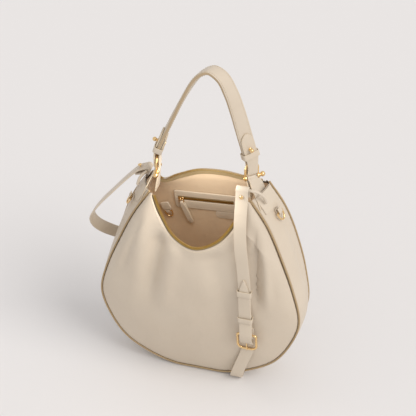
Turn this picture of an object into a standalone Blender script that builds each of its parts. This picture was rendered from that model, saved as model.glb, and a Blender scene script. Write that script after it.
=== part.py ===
"""Soft leather hobo bag with a short padded handle and a long flat crossbody strap.

Units are metres, +Z is up, -Y is the front of the bag, and the bag stands on Z = 0.
The body is a front and a back panel joined by one gusset strip that runs from the left
mouth corner, round the bottom, to the right one. The mouth stands open: its front edge
flops down and forward, its back edge stands up. The handle hangs on a screw shackle at
the top of each gusset end. The crossbody strap hangs from a loop beside each shackle.
"""

import bpy
import bmesh
from math import cos, pi, radians, sin
from mathutils import Vector

# ---------------------------------------------------------------- driving dimensions
LEATHER = 0.0018            # body leather
GAP = 0.0003                # clearance between touching pieces
SEAM_Z = 0.0030             # lowest point of the panel seams
GUSSET_HALF = 0.035         # half the gusset width at the bottom
GUSSET_TOP_HALF = 0.029     # half the gusset width at its two top ends
BACK_SPREAD = 0.017         # how much wider the back seam stands at the top, each side
GUSSET_SAG = 0.0045         # how far the gusset bellies out between its seams
BASE_SAG = 0.0060           # more belly at the bottom, which the ground presses flat
FRONT_BELLY = 0.0195        # how far the front panel bellies out
BACK_BELLY = 0.0290         # how far the back panel bellies out
PIPING_RADIUS = 0.0024
SEAM_INSET = 0.0034         # panel and gusset edges stop this far from the seam line
TOP_TILT = 0.077            # rise of the bag's top to the right, per metre of X
TEETH_HALF = 0.0021         # half the width of a zip chain
LINING_INSET = 0.0042       # lining's outer side, measured in from the outer leather
LINING_THICK = 0.0008

# Half of the panel outline, from the bottom middle up to the mouth corner: (x, z)
HALF_OUTLINE = [
    (0.000, SEAM_Z), (0.046, 0.0044), (0.094, 0.0215), (0.135, 0.051), (0.163, 0.100),
    (0.1735, 0.146), (0.161, 0.204), (0.138, 0.266), (0.113, 0.322), (0.083, 0.370)]
# Mouth edges from left to right: (x, y, z) of the zip chains
FRONT_MOUTH = [
    (-0.076, -0.033, 0.369), (-0.060, -0.042, 0.334), (-0.035, -0.055, 0.301),
    (0.000, -0.062, 0.287), (0.035, -0.055, 0.299), (0.060, -0.042, 0.330),
    (0.076, -0.033, 0.369)]
BACK_MOUTH = [
    (-0.093, 0.030, 0.369), (-0.080, 0.036, 0.350), (-0.056, 0.041, 0.358),
    (-0.020, 0.044, 0.369), (0.022, 0.044, 0.370), (0.060, 0.040, 0.366),
    (0.093, 0.030, 0.369)]

# Handle and shackles
PIVOT_X = 0.078             # shackle pins stand this far from the middle
PIVOT_Z = 0.394             # shackle pins' height, before the tilt
PIN_TURN = {-1: radians(-7), 1: radians(48)}   # pins' direction in plan, from +Y
PIN_RADIUS = 0.0016
BOW_RADIUS = 0.0017         # shackle wire
BOW_HALF = 0.0112           # pin centre to a leg's centre line
BOW_HEIGHT = 0.0265         # pin to the arch's centre line
TAB_THICK = 0.0022
LOOP_WIDTH = 0.0168         # leather between a shackle's legs
HANDLE_WIDTH = 0.0250
HANDLE_THICK = 0.0070
COVER_THICK = 0.0015
TAB_TIP_RISE = 0.082        # pin to the pointed tip of a handle tab
STUD_RISE = 0.054           # pin to the stud that closes the tab
KEEPER_RISE = 0.039         # pin to the middle of the leather keeper
# Handle centre line between the shackles: (x, y, z) without the tilt
HANDLE_LINE = [
    (-0.0770, 0.0000, 0.431), (-0.0700, 0.0000, 0.449), (-0.0570, 0.0000, 0.480),
    (-0.0400, 0.0000, 0.517), (-0.0240, 0.0000, 0.549), (-0.0070, 0.0000, 0.574),
    (0.0110, 0.0000, 0.5835), (0.0290, 0.0000, 0.572), (0.0430, 0.0000, 0.545),
    (0.0540, 0.0000, 0.512), (0.0630, 0.0000, 0.480), (0.0715, 0.0000, 0.449),
    (0.0765, 0.0000, 0.431)]

# Crossbody strap: centre-line routes, each point with the direction of the strap's width
STRAP_WIDTH = 0.0205
STRAP_THICK = 0.0026
BAR_RADIUS = 0.0025         # rolled leather bars that the strap's ends fold over
RIGHT_BAR = (0.0715, -0.0305, 0.3945)
LEFT_BAR = (-0.101, 0.0200, 0.3715)
FOLD = BAR_RADIUS + GAP + STRAP_THICK / 2 + 0.0004
BUCKLE_BAR = (0.0925, -0.0706, 0.1300)
BUCKLE_WIRE = 0.0018
BUCKLE_HALF = 0.0160        # half the frame's width, to the wire's centre
BUCKLE_TOE = (0.0925, -0.0632, 0.0935)
BUCKLE_FOLD = BUCKLE_WIRE + GAP + STRAP_THICK / 2 + 0.0002
# From the right bar down to the buckle
SHORT_ROUTE = [
    (0.0715, -0.0356, 0.386), (0.0717, -0.0372, 0.377), (0.0724, -0.0450, 0.357),
    (0.0738, -0.0537, 0.335), (0.0772, -0.0620, 0.303), (0.0832, -0.0670, 0.262),
    (0.0870, -0.0694, 0.222), (0.0885, -0.0698, 0.184), (0.0905, -0.0702, 0.158),
    (0.0918, -0.0718, 0.143)]
# From the left bar out, behind the bag, under it and up the front to the pointed tip
LONG_ROUTE = [
    (-0.1175, 0.0195, 0.3685), (-0.1370, 0.0170, 0.3490), (-0.1600, 0.0120, 0.3230),
    (-0.1845, 0.0100, 0.2930), (-0.2020, 0.0140, 0.2620), (-0.1990, 0.0290, 0.2330),
    (-0.1780, 0.0500, 0.2060), (-0.1420, 0.0680, 0.1860), (-0.1000, 0.0738, 0.1680),
    (-0.0500, 0.0755, 0.1430), (-0.0050, 0.0735, 0.1120), (0.0300, 0.0660, 0.0760),
    (0.0540, 0.0565, 0.0400), (0.0650, 0.0490, 0.0150), (0.0690, 0.0380, 0.0034),
    (0.0690, 0.0200, 0.0016), (0.0690, -0.0200, 0.0016), (0.0690, -0.0380, 0.0034),
    (0.0705, -0.0490, 0.0150), (0.0765, -0.0530, 0.0360), (0.0840, -0.0560, 0.0600),
    (0.0910, -0.0582, 0.0840), (0.0928, -0.0596, 0.0950), (0.0928, -0.0622, 0.1030),
    (0.0926, -0.0755, 0.1190), (0.0924, -0.0780, 0.1300), (0.0917, -0.0764, 0.1430),
    (0.0905, -0.0738, 0.1580), (0.0887, -0.0732, 0.1840), (0.0870, -0.0728, 0.2220),
    (0.0858, -0.0712, 0.2450)]
LONG_WIDTH_WAYS = [
    (0, 1, 0), (0, 1, 0), (0, 1, 0), (0, 1, 0), (0.05, 1, 0.1), (0.2, 1, 0.5),
    (0.4, 0.6, 0.9), (0.45, 0.15, 1), (0.45, 0, 1), (0.55, 0, 0.9), (0.7, 0, 0.8),
    (0.9, 0, 0.55), (1, 0, 0.25), (1, 0, 0.05)]


# ---------------------------------------------------------------- small helpers
def clear_scene():
    for item in list(bpy.data.objects):
        bpy.data.objects.remove(item, do_unlink=True)


def material(name, colour, roughness, metallic=0.0):
    """One plain Principled material, colour as linear RGB."""
    found = bpy.data.materials.get(name)
    if found:
        return found
    made = bpy.data.materials.new(name)
    made.use_nodes = True
    shader = made.node_tree.nodes["Principled BSDF"]
    shader.inputs["Base Color"].default_value = (*colour, 1.0)
    shader.inputs["Roughness"].default_value = roughness
    shader.inputs["Metallic"].default_value = metallic
    return made


def leather():
    return material("cream_leather", (0.61, 0.51, 0.39), 0.55)


def edge_paint():
    return material("tan_edge", (0.36, 0.25, 0.14), 0.5)


def lining_cloth():
    return material("taupe_lining", (0.32, 0.24, 0.17), 0.85)


def gold():
    return material("gold_fittings", (0.83, 0.62, 0.32), 0.25, 1.0)


def zip_metal():
    return material("gold_zip", (0.55, 0.40, 0.13), 0.35, 1.0)


def zip_cloth():
    return material("zip_tape", (0.30, 0.23, 0.15), 0.9)


def ramp(value, low, high):
    """0 below low, 1 above high, and smooth between."""
    share = min(1.0, max(0.0, (value - low) / (high - low)))
    return share * share * (3.0 - 2.0 * share)


def lean(point):
    """Tilts the top of the bag, so that its right side stands a little higher."""
    rise = TOP_TILT * point.x * ramp(point.z, 0.12, 0.36)
    return Vector((point.x, point.y, point.z + rise))


def curve_through(points, share):
    """The point at share (0 to 1) of a smooth curve through the points."""
    points = [Vector(p) for p in points]
    marks = [0.0]
    for first, second in zip(points, points[1:]):
        marks.append(marks[-1] + (second - first).length)
    place = min(max(share, 0.0), 1.0) * marks[-1]
    index = 0
    while index < len(points) - 2 and marks[index + 1] < place:
        index += 1

    def slope(k):
        low, high = max(k - 1, 0), min(k + 1, len(points) - 1)
        return (points[high] - points[low]) / (marks[high] - marks[low])

    span = marks[index + 1] - marks[index]
    t = (place - marks[index]) / span
    start, end = points[index], points[index + 1]
    return (start * (2 * t ** 3 - 3 * t ** 2 + 1)
            + slope(index) * span * (t ** 3 - 2 * t ** 2 + t)
            + end * (-2 * t ** 3 + 3 * t ** 2)
            + slope(index + 1) * span * (t ** 3 - t ** 2))


def sampled(points, count):
    return [curve_through(points, k / (count - 1)) for k in range(count)]


def make_object(name, bm, finish, origin=None):
    """Closes the bmesh into a named object with one material and outward faces."""
    bmesh.ops.recalc_face_normals(bm, faces=bm.faces)
    origin = Vector(origin) if origin is not None else Vector((0, 0, 0))
    bmesh.ops.translate(bm, verts=bm.verts, vec=-origin)
    mesh = bpy.data.meshes.new(name)
    bm.to_mesh(mesh)
    bm.free()
    mesh.materials.append(finish)
    mesh.shade_smooth()
    mesh.set_sharp_from_angle(angle=radians(40))
    made = bpy.data.objects.new(name, mesh)
    bpy.context.collection.objects.link(made)
    made.location = origin
    return made


def add_rings(bm, rings, looped=False):
    """Skins a row of equal rings of points; caps the two ends unless looped."""
    rows = [[bm.verts.new(p) for p in ring] for ring in rings]
    count = len(rows[0])
    pairs = list(zip(rows, rows[1:]))
    if looped:
        pairs.append((rows[-1], rows[0]))
    for low, high in pairs:
        for k in range(count):
            after = (k + 1) % count
            bm.faces.new((low[k], low[after], high[after], high[k]))
    if not looped:
        bm.faces.new(rows[0])
        bm.faces.new(list(reversed(rows[-1])))


def add_sweep(bm, path, sides, profile, looped=False, scales=None):
    """Sweeps a flat profile of (across, out) pairs along a path.

    sides gives the across direction at each point of the path."""
    rings = []
    count = len(path)
    for k, centre in enumerate(path):
        before = path[(k - 1) % count] if looped or k > 0 else path[k]
        after = path[(k + 1) % count] if looped or k < count - 1 else path[k]
        along = (after - before).normalized()
        across = (sides[k] - along * sides[k].dot(along)).normalized()
        out = across.cross(along)
        wide = scales[k] if scales else 1.0
        rings.append([centre + across * (a * wide) + out * o for a, o in profile])
    add_rings(bm, rings, looped)


def circle(radius, count):
    return [(radius * cos(2 * pi * k / count), radius * sin(2 * pi * k / count))
            for k in range(count)]


def flat_bar(width, thick):
    """A strap's section, as (across, out) pairs."""
    w, t = width / 2, thick / 2
    return [(-w, -t), (w, -t), (w, t), (-w, t)]


def add_turned(bm, profile, centre, axis, count=10):
    """Turns a profile of (radius, height) pairs round an axis through centre."""
    axis = Vector(axis).normalized()
    turn = Vector((0, 0, 1)).rotation_difference(axis).to_matrix()
    rings = []
    for radius, height in profile:
        ring = []
        for k in range(count):
            angle = 2 * pi * k / count
            spoke = Vector((radius * cos(angle), radius * sin(angle), height))
            ring.append(Vector(centre) + turn @ spoke)
        rings.append(ring)
    add_rings(bm, rings)


def sheet_solid(name, grid, thickness, finish, flip=False):
    """A grid of points as a sheet, thickened away from its outward side."""
    bm = bmesh.new()
    rows = [[bm.verts.new(p) for p in row] for row in grid]
    for low, high in zip(rows, rows[1:]):
        for k in range(len(low) - 1):
            corners = (low[k], low[k + 1], high[k + 1], high[k])
            bm.faces.new(tuple(reversed(corners)) if flip else corners)
    mesh = bpy.data.meshes.new(name)
    bm.to_mesh(mesh)
    bm.free()
    mesh.materials.append(finish)
    mesh.shade_smooth()
    made = bpy.data.objects.new(name, mesh)
    bpy.context.collection.objects.link(made)
    solidify = made.modifiers.new("thickness", "SOLIDIFY")
    solidify.thickness = thickness
    solidify.offset = -1.0
    return made


def bore(target, cutter):
    """Cuts the cutter's shape out of the target."""
    cut = target.modifiers.new("bore", "BOOLEAN")
    cut.operation = "DIFFERENCE"
    cut.solver = "EXACT"
    cut.object = cutter


def post_cutter(name, centre, axis, radius, length):
    """A hidden round cutter for a rivet or stud hole."""
    bm = bmesh.new()
    add_turned(bm, [(radius, -length / 2), (radius, length / 2)], centre, axis, 12)
    made = make_object(name, bm, gold())
    made.hide_render = True
    made.display_type = "WIRE"
    return made


# ---------------------------------------------------------------- bag surfaces
def outline(share, spread=0.0):
    """The panel seam in the XZ plane: share 0 is the left corner, 1 the right."""
    side = -1 if share < 0.5 else 1
    reach = abs(share - 0.5) * 2
    half = curve_through([(x, 0.0, z) for x, z in HALF_OUTLINE], reach)
    wide = half.x + spread * ramp(half.z, 0.12, 0.34)
    return side * wide, max(half.z, SEAM_Z)


def front_seam(share):
    x, z = outline(share)
    depth = GUSSET_HALF + (GUSSET_TOP_HALF - GUSSET_HALF) * ramp(z, 0.2, 0.36)
    return Vector((x, -depth, z))


def back_seam(share):
    x, z = outline(share, BACK_SPREAD)
    depth = GUSSET_HALF + (GUSSET_TOP_HALF - GUSSET_HALF) * ramp(z, 0.2, 0.36)
    return Vector((x, depth, z))


def pillow(rise):
    """Belly of a panel from its seam (0) to its mouth edge (1); highest near 0.45."""
    return (1 - (1 - rise) ** 2.5) * (1 - rise ** 2) / 0.617


def panel_point(seam, mouth, belly, rise, outward):
    span = (mouth - seam).length
    push = belly * min(1.0, span / 0.12) * pillow(rise)
    point = seam.lerp(mouth, rise)
    return lean(Vector((point.x, point.y + outward * push, point.z)))


def front_point(share, rise):
    return panel_point(front_seam(share), curve_through(FRONT_MOUTH, share),
                       FRONT_BELLY, rise, -1)


def back_point(share, rise):
    return panel_point(back_seam(share), curve_through(BACK_MOUTH, share),
                       BACK_BELLY, rise, 1)


def gusset_point(share, across):
    """across 0 is the front seam and 1 the back seam."""
    front, back = front_seam(share), back_seam(share)
    step = 0.004
    along = front_seam(min(share + step, 1.0)) - front_seam(max(share - step, 0.0))
    outward = Vector((along.z, 0.0, -along.x)).normalized()
    sag = GUSSET_SAG + BASE_SAG * (1 - ramp(front.z, 0.0044, 0.0062))
    point = front.lerp(back, across) + outward * sag * sin(pi * across)
    point = lean(point)
    return Vector((point.x, point.y, max(point.z, 0.0)))


def surface_normal(surface, a, b, outward):
    """Numerical normal of a surface, on the side given by the sign of outward."""
    step = 0.003
    low_a, high_a = max(a - step, 0.0), min(a + step, 1.0)
    low_b, high_b = max(b - step, 0.0), min(b + step, 1.0)
    first = surface(high_a, b) - surface(low_a, b)
    second = surface(a, high_b) - surface(a, low_b)
    return first.cross(second).normalized() * outward


def inset_point(surface, a, b, depth, outward):
    return surface(a, b) - surface_normal(surface, a, b, outward) * depth


FRONT_SIDE = 1      # sign that turns a surface's own normal outward
BACK_SIDE = -1
GUSSET_SIDE = -1


def surface_at(surface, x, z, depth, outward):
    """The point of a panel at x and z, set in by depth; solved by Newton's method."""
    a, b = 0.5 + x * 1.2, 0.5
    for _ in range(14):
        here = inset_point(surface, a, b, depth, outward)
        miss = Vector((x - here.x, z - here.z))
        if miss.length < 1e-6:
            break
        step = 1e-3
        by_a = (inset_point(surface, a + step, b, depth, outward) - here) / step
        by_b = (inset_point(surface, a, b + step, depth, outward) - here) / step
        scale = by_a.x * by_b.z - by_b.x * by_a.z
        a += max(-0.1, min(0.1, (miss.x * by_b.z - by_b.x * miss.y) / scale))
        b += max(-0.1, min(0.1, (by_a.x * miss.y - miss.x * by_a.z) / scale))
        a, b = min(max(a, 0.02), 0.97), min(max(b, 0.01), 0.98)
    return inset_point(surface, a, b, depth, outward)


# ---------------------------------------------------------------- bag body
SHARES = 22                 # steps along the seam
RISES = 5                   # steps up a panel
EDGE_SHARE = 0.006          # panels stop this short of the mouth corners


def share_at(k, count=SHARES, margin=EDGE_SHARE):
    return margin + (1 - 2 * margin) * k / count


def clear_span(share, line, other):
    """Distance from one edge line to the other, square to the first."""
    along = (line(min(share + 0.01, 1.0)) - line(max(share - 0.01, 0.0))).normalized()
    reach = other(share) - line(share)
    return (reach - along * reach.dot(along)).length


def rise_limits(share, seam, mouth_points):
    """Where a panel's leather starts at the seam and ends at the zip tape."""
    def mouth(place):
        return curve_through(mouth_points, place)

    low = min(SEAM_INSET / clear_span(share, seam, mouth), 0.45)
    high = 1 - min((TEETH_HALF + 0.0030) / clear_span(share, mouth, seam), 0.25)
    return low, high


def panel(name, surface, seam, mouth_points, outward):
    grid = []
    for k in range(SHARES + 1):
        share = share_at(k)
        low, high = rise_limits(share, seam, mouth_points)
        grid.append([surface(share, low + (high - low) * j / RISES)
                     for j in range(RISES + 1)])
    return sheet_solid(name, grid, LEATHER, leather(), flip=outward < 0)


def gusset():
    grid = []
    for k in range(SHARES + 1):
        share = share_at(k)
        width = (back_seam(share) - front_seam(share)).length
        low = SEAM_INSET / width
        grid.append([gusset_point(share, across)
                     for across in (low, 0.16, 0.5, 0.84, 1 - low)])
    return sheet_solid("gusset", grid, LEATHER, leather())


def piping(name, seam):
    path = [lean(seam(share_at(k, 30, 0.002))) for k in range(31)]
    bm = bmesh.new()
    add_sweep(bm, path, [Vector((0, 1, 0))] * len(path), circle(PIPING_RADIUS, 6))
    return make_object(name, bm, edge_paint())


def lining():
    """One thin pouch: down the front, across the bottom and up the back."""
    grid = []
    for k in range(SHARES + 1):
        share = share_at(k)
        low_f, high_f = rise_limits(share, front_seam, FRONT_MOUTH)
        low_b, high_b = rise_limits(share, back_seam, BACK_MOUTH)
        row = []
        for j in range(RISES, -1, -1):
            rise = low_f + (high_f - low_f) * j / RISES
            row.append(inset_point(front_point, share, rise, LINING_INSET, FRONT_SIDE))
        for j in range(1, 5):
            row.append(inset_point(gusset_point, share, 0.1 + 0.8 * (j - 1) / 3,
                                   LINING_INSET, GUSSET_SIDE))
        for j in range(RISES + 1):
            rise = low_b + (high_b - low_b) * j / RISES
            row.append(inset_point(back_point, share, rise, LINING_INSET, BACK_SIDE))
        grid.append(row)
    return sheet_solid("lining", grid, LINING_THICK, lining_cloth(), flip=True)


def mouth_strip(name, mouth_points, seam, start, width, thick, finish, count=24):
    """A strip along a mouth edge; start is how far below the zip chain it begins."""
    path, sides = [], []
    for k in range(count + 1):
        share = 0.035 + 0.93 * k / count
        mouth, low = curve_through(mouth_points, share), seam(share)
        along = (curve_through(mouth_points, share + 0.01)
                 - curve_through(mouth_points, share - 0.01)).normalized()
        down = low - mouth
        down = (down - along * down.dot(along)).normalized()
        path.append(lean(mouth + down * (start + width / 2)))
        sides.append(down)
    bm = bmesh.new()
    w, t = width / 2, thick / 2
    add_sweep(bm, path, sides, [(-w, -t), (w, -t), (w, t), (-w, t)])
    return make_object(name, bm, finish)


def build_body():
    panel("front_panel", front_point, front_seam, FRONT_MOUTH, FRONT_SIDE)
    panel("back_panel", back_point, back_seam, BACK_MOUTH, BACK_SIDE)
    gusset()
    piping("front_piping", front_seam)
    piping("back_piping", back_seam)
    lining()
    for side, points, seam in (("front", FRONT_MOUTH, front_seam),
                               ("back", BACK_MOUTH, back_seam)):
        mouth_strip("zip_teeth_" + side, points, seam, -TEETH_HALF, 2 * TEETH_HALF,
                    0.0022, zip_metal())
        mouth_strip("zip_tape_" + side, points, seam, TEETH_HALF + GAP, 0.0022,
                    0.0009, zip_cloth())


# ---------------------------------------------------------------- gusset ends
def gusset_patch(side):
    """Leather facing over the top of a gusset end, with the loop's seam below it."""
    grid = []
    for k in range(6):
        reach = EDGE_SHARE + PATCH_SHARE * k / 5
        share = 1 - reach if side > 0 else reach
        row = []
        for j in range(6):
            across = 0.13 + 0.74 * j / 5
            row.append(inset_point(gusset_point, share, across, -(GAP + 0.0016),
                                   GUSSET_SIDE))
        grid.append(row)
    name = "gusset_patch_right" if side > 0 else "gusset_patch_left"
    return sheet_solid(name, grid, 0.0014, leather(), flip=side > 0)


RING_SHARE = 0.050          # side rings hang this far down the seam from each corner
PATCH_SHARE = 0.034         # how far the gusset facing reaches down the seam


def side_ring(side):
    """D-ring that hangs from a small leather tab in the middle of a gusset."""
    name = "right" if side > 0 else "left"
    share = 1 - RING_SHARE if side > 0 else RING_SHARE
    base = gusset_point(share, 0.5)
    out = surface_normal(gusset_point, share, 0.5, GUSSET_SIDE)
    back = Vector((0, 1, 0))
    back = (back - out * back.dot(out)).normalized()
    down = back.cross(out).normalized()
    if down.z > 0:
        down = -down
    bar = base + out * 0.0048
    # the tab folds over the ring's straight bar
    path = []
    for k in range(9):
        angle = pi * k / 8
        path.append(bar + out * (0.0028 * cos(angle)) + down * (0.0028 * sin(angle)))
    path = [path[0] - down * 0.0078] + path + [path[-1] - down * 0.0078]
    bm = bmesh.new()
    add_sweep(bm, path, [back] * len(path), flat_bar(0.0100, 0.0012))
    make_object("side_ring_tab_" + name, bm, leather())
    ring_path = []
    half, depth = 0.0078, 0.0145
    for k in range(16):
        angle = pi * k / 15
        ring_path.append(bar + back * (half * cos(angle)) + down * (depth * sin(angle)))
    for k in range(1, 5):
        ring_path.append(bar + back * (half * (-1 + 2 * k / 5)))
    bm = bmesh.new()
    add_sweep(bm, ring_path, [out] * len(ring_path), circle(0.0014, 8), looped=True)
    make_object("side_ring_" + name, bm, gold(), origin=bar)


# ---------------------------------------------------------------- handle
def pin_frame(side):
    """Pin centre, pin direction, face direction (outward) and up, for one shackle."""
    centre = lean(Vector((side * PIVOT_X, 0.0, PIVOT_Z)))
    turn = PIN_TURN[side]
    along = Vector((sin(turn), cos(turn), 0.0))
    up = Vector((0, 0, 1))
    face = along.cross(up)
    if face.x * side < 0:
        face = -face
    return centre, along, face, up


def handle_points(count):
    return [lean(Vector(p)) for p in sampled(HANDLE_LINE, count)]


def handle_side(share):
    """Direction of the strap's width along the handle, turning from left to right."""
    turn = PIN_TURN[-1] + (PIN_TURN[1] - PIN_TURN[-1]) * ramp(share, 0.12, 0.9)
    return Vector((sin(turn), cos(turn), 0.0))


def rounded_section(width, thick, count=10, power=0.62):
    """A padded section: an oval with full sides."""
    points = []
    for k in range(count):
        angle = 2 * pi * k / count
        c, s = cos(angle), sin(angle)
        points.append((width / 2 * abs(c) ** power * (1 if c >= 0 else -1),
                       thick / 2 * abs(s) ** power * (1 if s >= 0 else -1)))
    return points


def build_handle_strap():
    """Leather cover as an open tube, and the soft core that fills it."""
    count = 21
    path = handle_points(count)
    sides = [handle_side(k / (count - 1)) for k in range(count)]
    outer = rounded_section(HANDLE_WIDTH, HANDLE_THICK)
    inner = rounded_section(HANDLE_WIDTH - 2 * COVER_THICK, HANDLE_THICK - 2 * COVER_THICK)
    bm = bmesh.new()
    rings = []
    for section in (outer, inner):
        swept = []
        for k, centre in enumerate(path):
            before, after = path[max(k - 1, 0)], path[min(k + 1, count - 1)]
            along = (after - before).normalized()
            across = (sides[k] - along * sides[k].dot(along)).normalized()
            out = across.cross(along)
            swept.append([centre + across * a + out * o for a, o in section])
        rings.append(swept)
    loop = rings[0] + list(reversed(rings[1]))
    rows = [[bm.verts.new(p) for p in ring] for ring in loop]
    for low, high in zip(rows, rows[1:] + rows[:1]):
        for k in range(len(low)):
            after = (k + 1) % len(low)
            bm.faces.new((low[k], low[after], high[after], high[k]))
    cover = make_object("handle_cover", bm, leather())
    core_section = rounded_section(HANDLE_WIDTH - 2 * COVER_THICK - 0.0024,
                                   HANDLE_THICK - 2 * COVER_THICK - 0.0026, 8)
    bm = bmesh.new()
    add_sweep(bm, path[4:-4], sides[4:-4], core_section)
    make_object("handle_core", bm, material("cotton_core", (0.7, 0.68, 0.62), 0.9))
    return cover


def handle_end(side, cover):
    """Tab, keeper, stud, shackle and chape at one end of the handle."""
    name = "right" if side > 0 else "left"
    pin, along, face, up = pin_frame(side)
    ends = handle_points(21)
    if side > 0:
        ends = list(reversed(ends))
    # the handle's own direction and outward face at this end
    run = (ends[2] - ends[0]).normalized()
    across = (along - run * along.dot(run)).normalized()
    out = across.cross(run).normalized()
    if out.dot(face) < 0:
        out = -out
    foot = ends[0]
    half = HANDLE_THICK / 2 + GAP + TAB_THICK / 2

    # handle tab: pointed tip on the outer face, round the shackle arch, up the inner face
    loop_low = pin + up * (PIN_RADIUS + GAP + TAB_THICK + 0.0008 + TAB_THICK / 2)
    path, wide = [], []

    def on_face(rise, sign):
        spot = ends[0] + run * max(0.0, rise - (foot - pin).length)
        return spot + out * (sign * half)

    reach = (foot - pin).length
    for rise, width in ((TAB_TIP_RISE, 0.25), (TAB_TIP_RISE - 0.004, 0.62),
                        (TAB_TIP_RISE - 0.010, 0.95), (STUD_RISE + 0.006, 1.0),
                        (STUD_RISE - 0.006, 1.0), (KEEPER_RISE + 0.005, 1.0),
                        (reach, 0.98)):
        path.append(on_face(rise, 1))
        wide.append(width)
    slot = 0.0030
    for rise, width in ((0.027, 0.82), (0.018, 0.76)):
        path.append(pin + up * rise + face * (slot + TAB_THICK / 2))
        wide.append(width)
    centre = loop_low + up * (slot + TAB_THICK / 2)
    for k in range(7):
        angle = pi * k / 6
        radius = slot + TAB_THICK / 2
        path.append(centre + face * (radius * cos(angle)) - up * (radius * sin(angle)))
        wide.append(0.76)
    for rise, width in ((0.018, 0.76), (0.027, 0.82)):
        path.append(pin + up * rise - face * (slot + TAB_THICK / 2))
        wide.append(width)
    for rise, width in ((reach, 0.98), (KEEPER_RISE + 0.005, 1.0), (STUD_RISE - 0.006, 1.0),
                        (STUD_RISE + 0.006, 1.0), (STUD_RISE + 0.014, 0.98)):
        path.append(on_face(rise, -1))
        wide.append(width)
    bm = bmesh.new()
    add_sweep(bm, path, [along] * len(path), flat_bar(0.0222, TAB_THICK), scales=wide)
    tab = make_object("handle_tab_" + name, bm, leather())

    # keeper: a closed leather band round the tab and the handle's end
    centre = foot + run * (KEEPER_RISE - reach + 0.004)
    half_w = HANDLE_WIDTH / 2 + 0.0020
    half_t = HANDLE_THICK / 2 + TAB_THICK + 2 * GAP + 0.0013
    path = []
    for k in range(16):
        angle = 2 * pi * k / 16
        c, s = cos(angle), sin(angle)
        path.append(centre + across * (half_w * abs(c) ** 0.3 * (1 if c >= 0 else -1))
                    + out * (half_t * abs(s) ** 0.3 * (1 if s >= 0 else -1)))
    bm = bmesh.new()
    add_sweep(bm, path, [run] * len(path), [(-0.005, -0.0007), (0.005, -0.0007),
                                            (0.005, 0.0007), (-0.005, 0.0007)], looped=True)
    make_object("handle_keeper_" + name, bm, leather())

    # stud: ball head outside, screw back inside, one post through tab and handle
    spot = foot + run * (STUD_RISE - reach)
    deep = HANDLE_THICK / 2 + GAP + TAB_THICK + GAP
    profile = [(0.0001, -deep - 0.0013), (0.0036, -deep - 0.0012), (0.0040, -deep - 0.0006),
               (0.0040, -deep), (0.0014, -deep), (0.0014, deep), (0.0032, deep),
               (0.0032, deep + 0.0008), (0.0019, deep + 0.0014), (0.0019, deep + 0.0022)]
    for k in range(1, 7):
        angle = -0.5 * pi + pi * (0.18 + 0.80 * k / 6)
        profile.append((max(0.0001, 0.0036 * cos(angle)),
                        deep + 0.0052 + 0.0036 * sin(angle)))
    bm = bmesh.new()
    add_turned(bm, profile, spot, out)
    make_object("handle_stud_" + name, bm, gold())
    cutter = post_cutter("stud_bore_" + name, spot, out, 0.0018, 0.03)
    bore(cover, cutter)
    bore(tab, cutter)

    # shackle bow: a wire arch with a flat eye at each foot
    path = [pin - along * BOW_HALF + up * 0.0035, pin - along * BOW_HALF + up * 0.0090]
    rise = BOW_HEIGHT - BOW_HALF
    for k in range(9):
        angle = pi * k / 8
        path.append(pin - along * (BOW_HALF * cos(angle)) + up * (rise + BOW_HALF * sin(angle)))
    path += [pin + along * BOW_HALF + up * 0.0090, pin + along * BOW_HALF + up * 0.0035]
    bm = bmesh.new()
    add_sweep(bm, path, [face] * len(path), circle(BOW_RADIUS, 7))
    bow = make_object("shackle_bow_" + name, bm, gold())
    for end in (-1, 1):
        bm = bmesh.new()
        add_turned(bm, [(0.0046, -0.0017), (0.0046, 0.0017)], pin + along * (end * BOW_HALF),
                   along, 12)
        eye = make_object("eye_" + name + str(end), bm, gold())
        join = bow.modifiers.new("eye", "BOOLEAN")
        join.operation = "UNION"
        join.solver = "EXACT"
        join.object = eye
        eye.hide_render = True
        eye.display_type = "WIRE"
    bore(bow, post_cutter("pin_bore_" + name, pin, along, PIN_RADIUS + GAP, 0.04))

    # pin: ball knob and disc on one end (at the back on the right, in front on the left)
    towards = along * side
    reach_out = BOW_HALF + 0.0017 + GAP
    profile = [(0.0001, -reach_out - 0.0010), (PIN_RADIUS, -reach_out - 0.0006),
               (PIN_RADIUS, reach_out), (0.0040, reach_out), (0.0042, reach_out + 0.0012),
               (0.0016, reach_out + 0.0016), (0.0016, reach_out + 0.0028)]
    for k in range(1, 7):
        angle = -0.5 * pi + pi * (0.16 + 0.82 * k / 6)
        profile.append((max(0.0001, 0.0044 * cos(angle)),
                        reach_out + 0.0068 + 0.0044 * sin(angle)))
    bm = bmesh.new()
    add_turned(bm, profile, pin, towards)
    make_object("shackle_pin_" + name, bm, gold())

    # chape: leather folded over the pin; its lower end is round about the flex line
    inner_r = PIN_RADIUS + GAP
    path = []
    for k in range(9):
        angle = pi * k / 8
        radius = inner_r + 0.0010
        path.append(pin + face * (radius * cos(angle)) + up * (radius * sin(angle)))
    low_face, low_back = path[0], path[-1]
    path = [low_face - up * 0.0215, low_face - up * 0.015, low_face - up * 0.008] + path
    path += [low_back - up * 0.008, low_back - up * 0.015, low_back - up * 0.0215]
    wide = [0.35, 0.85, 1.0] + [1.0] * 9 + [1.0, 0.85, 0.35]
    bm = bmesh.new()
    add_sweep(bm, path, [along] * len(path), flat_bar(LOOP_WIDTH, 0.0020), scales=wide)
    make_object("chape_" + name, bm, leather())


def build_handle():
    cover = build_handle_strap()
    for side in (-1, 1):
        handle_end(side, cover)


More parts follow.
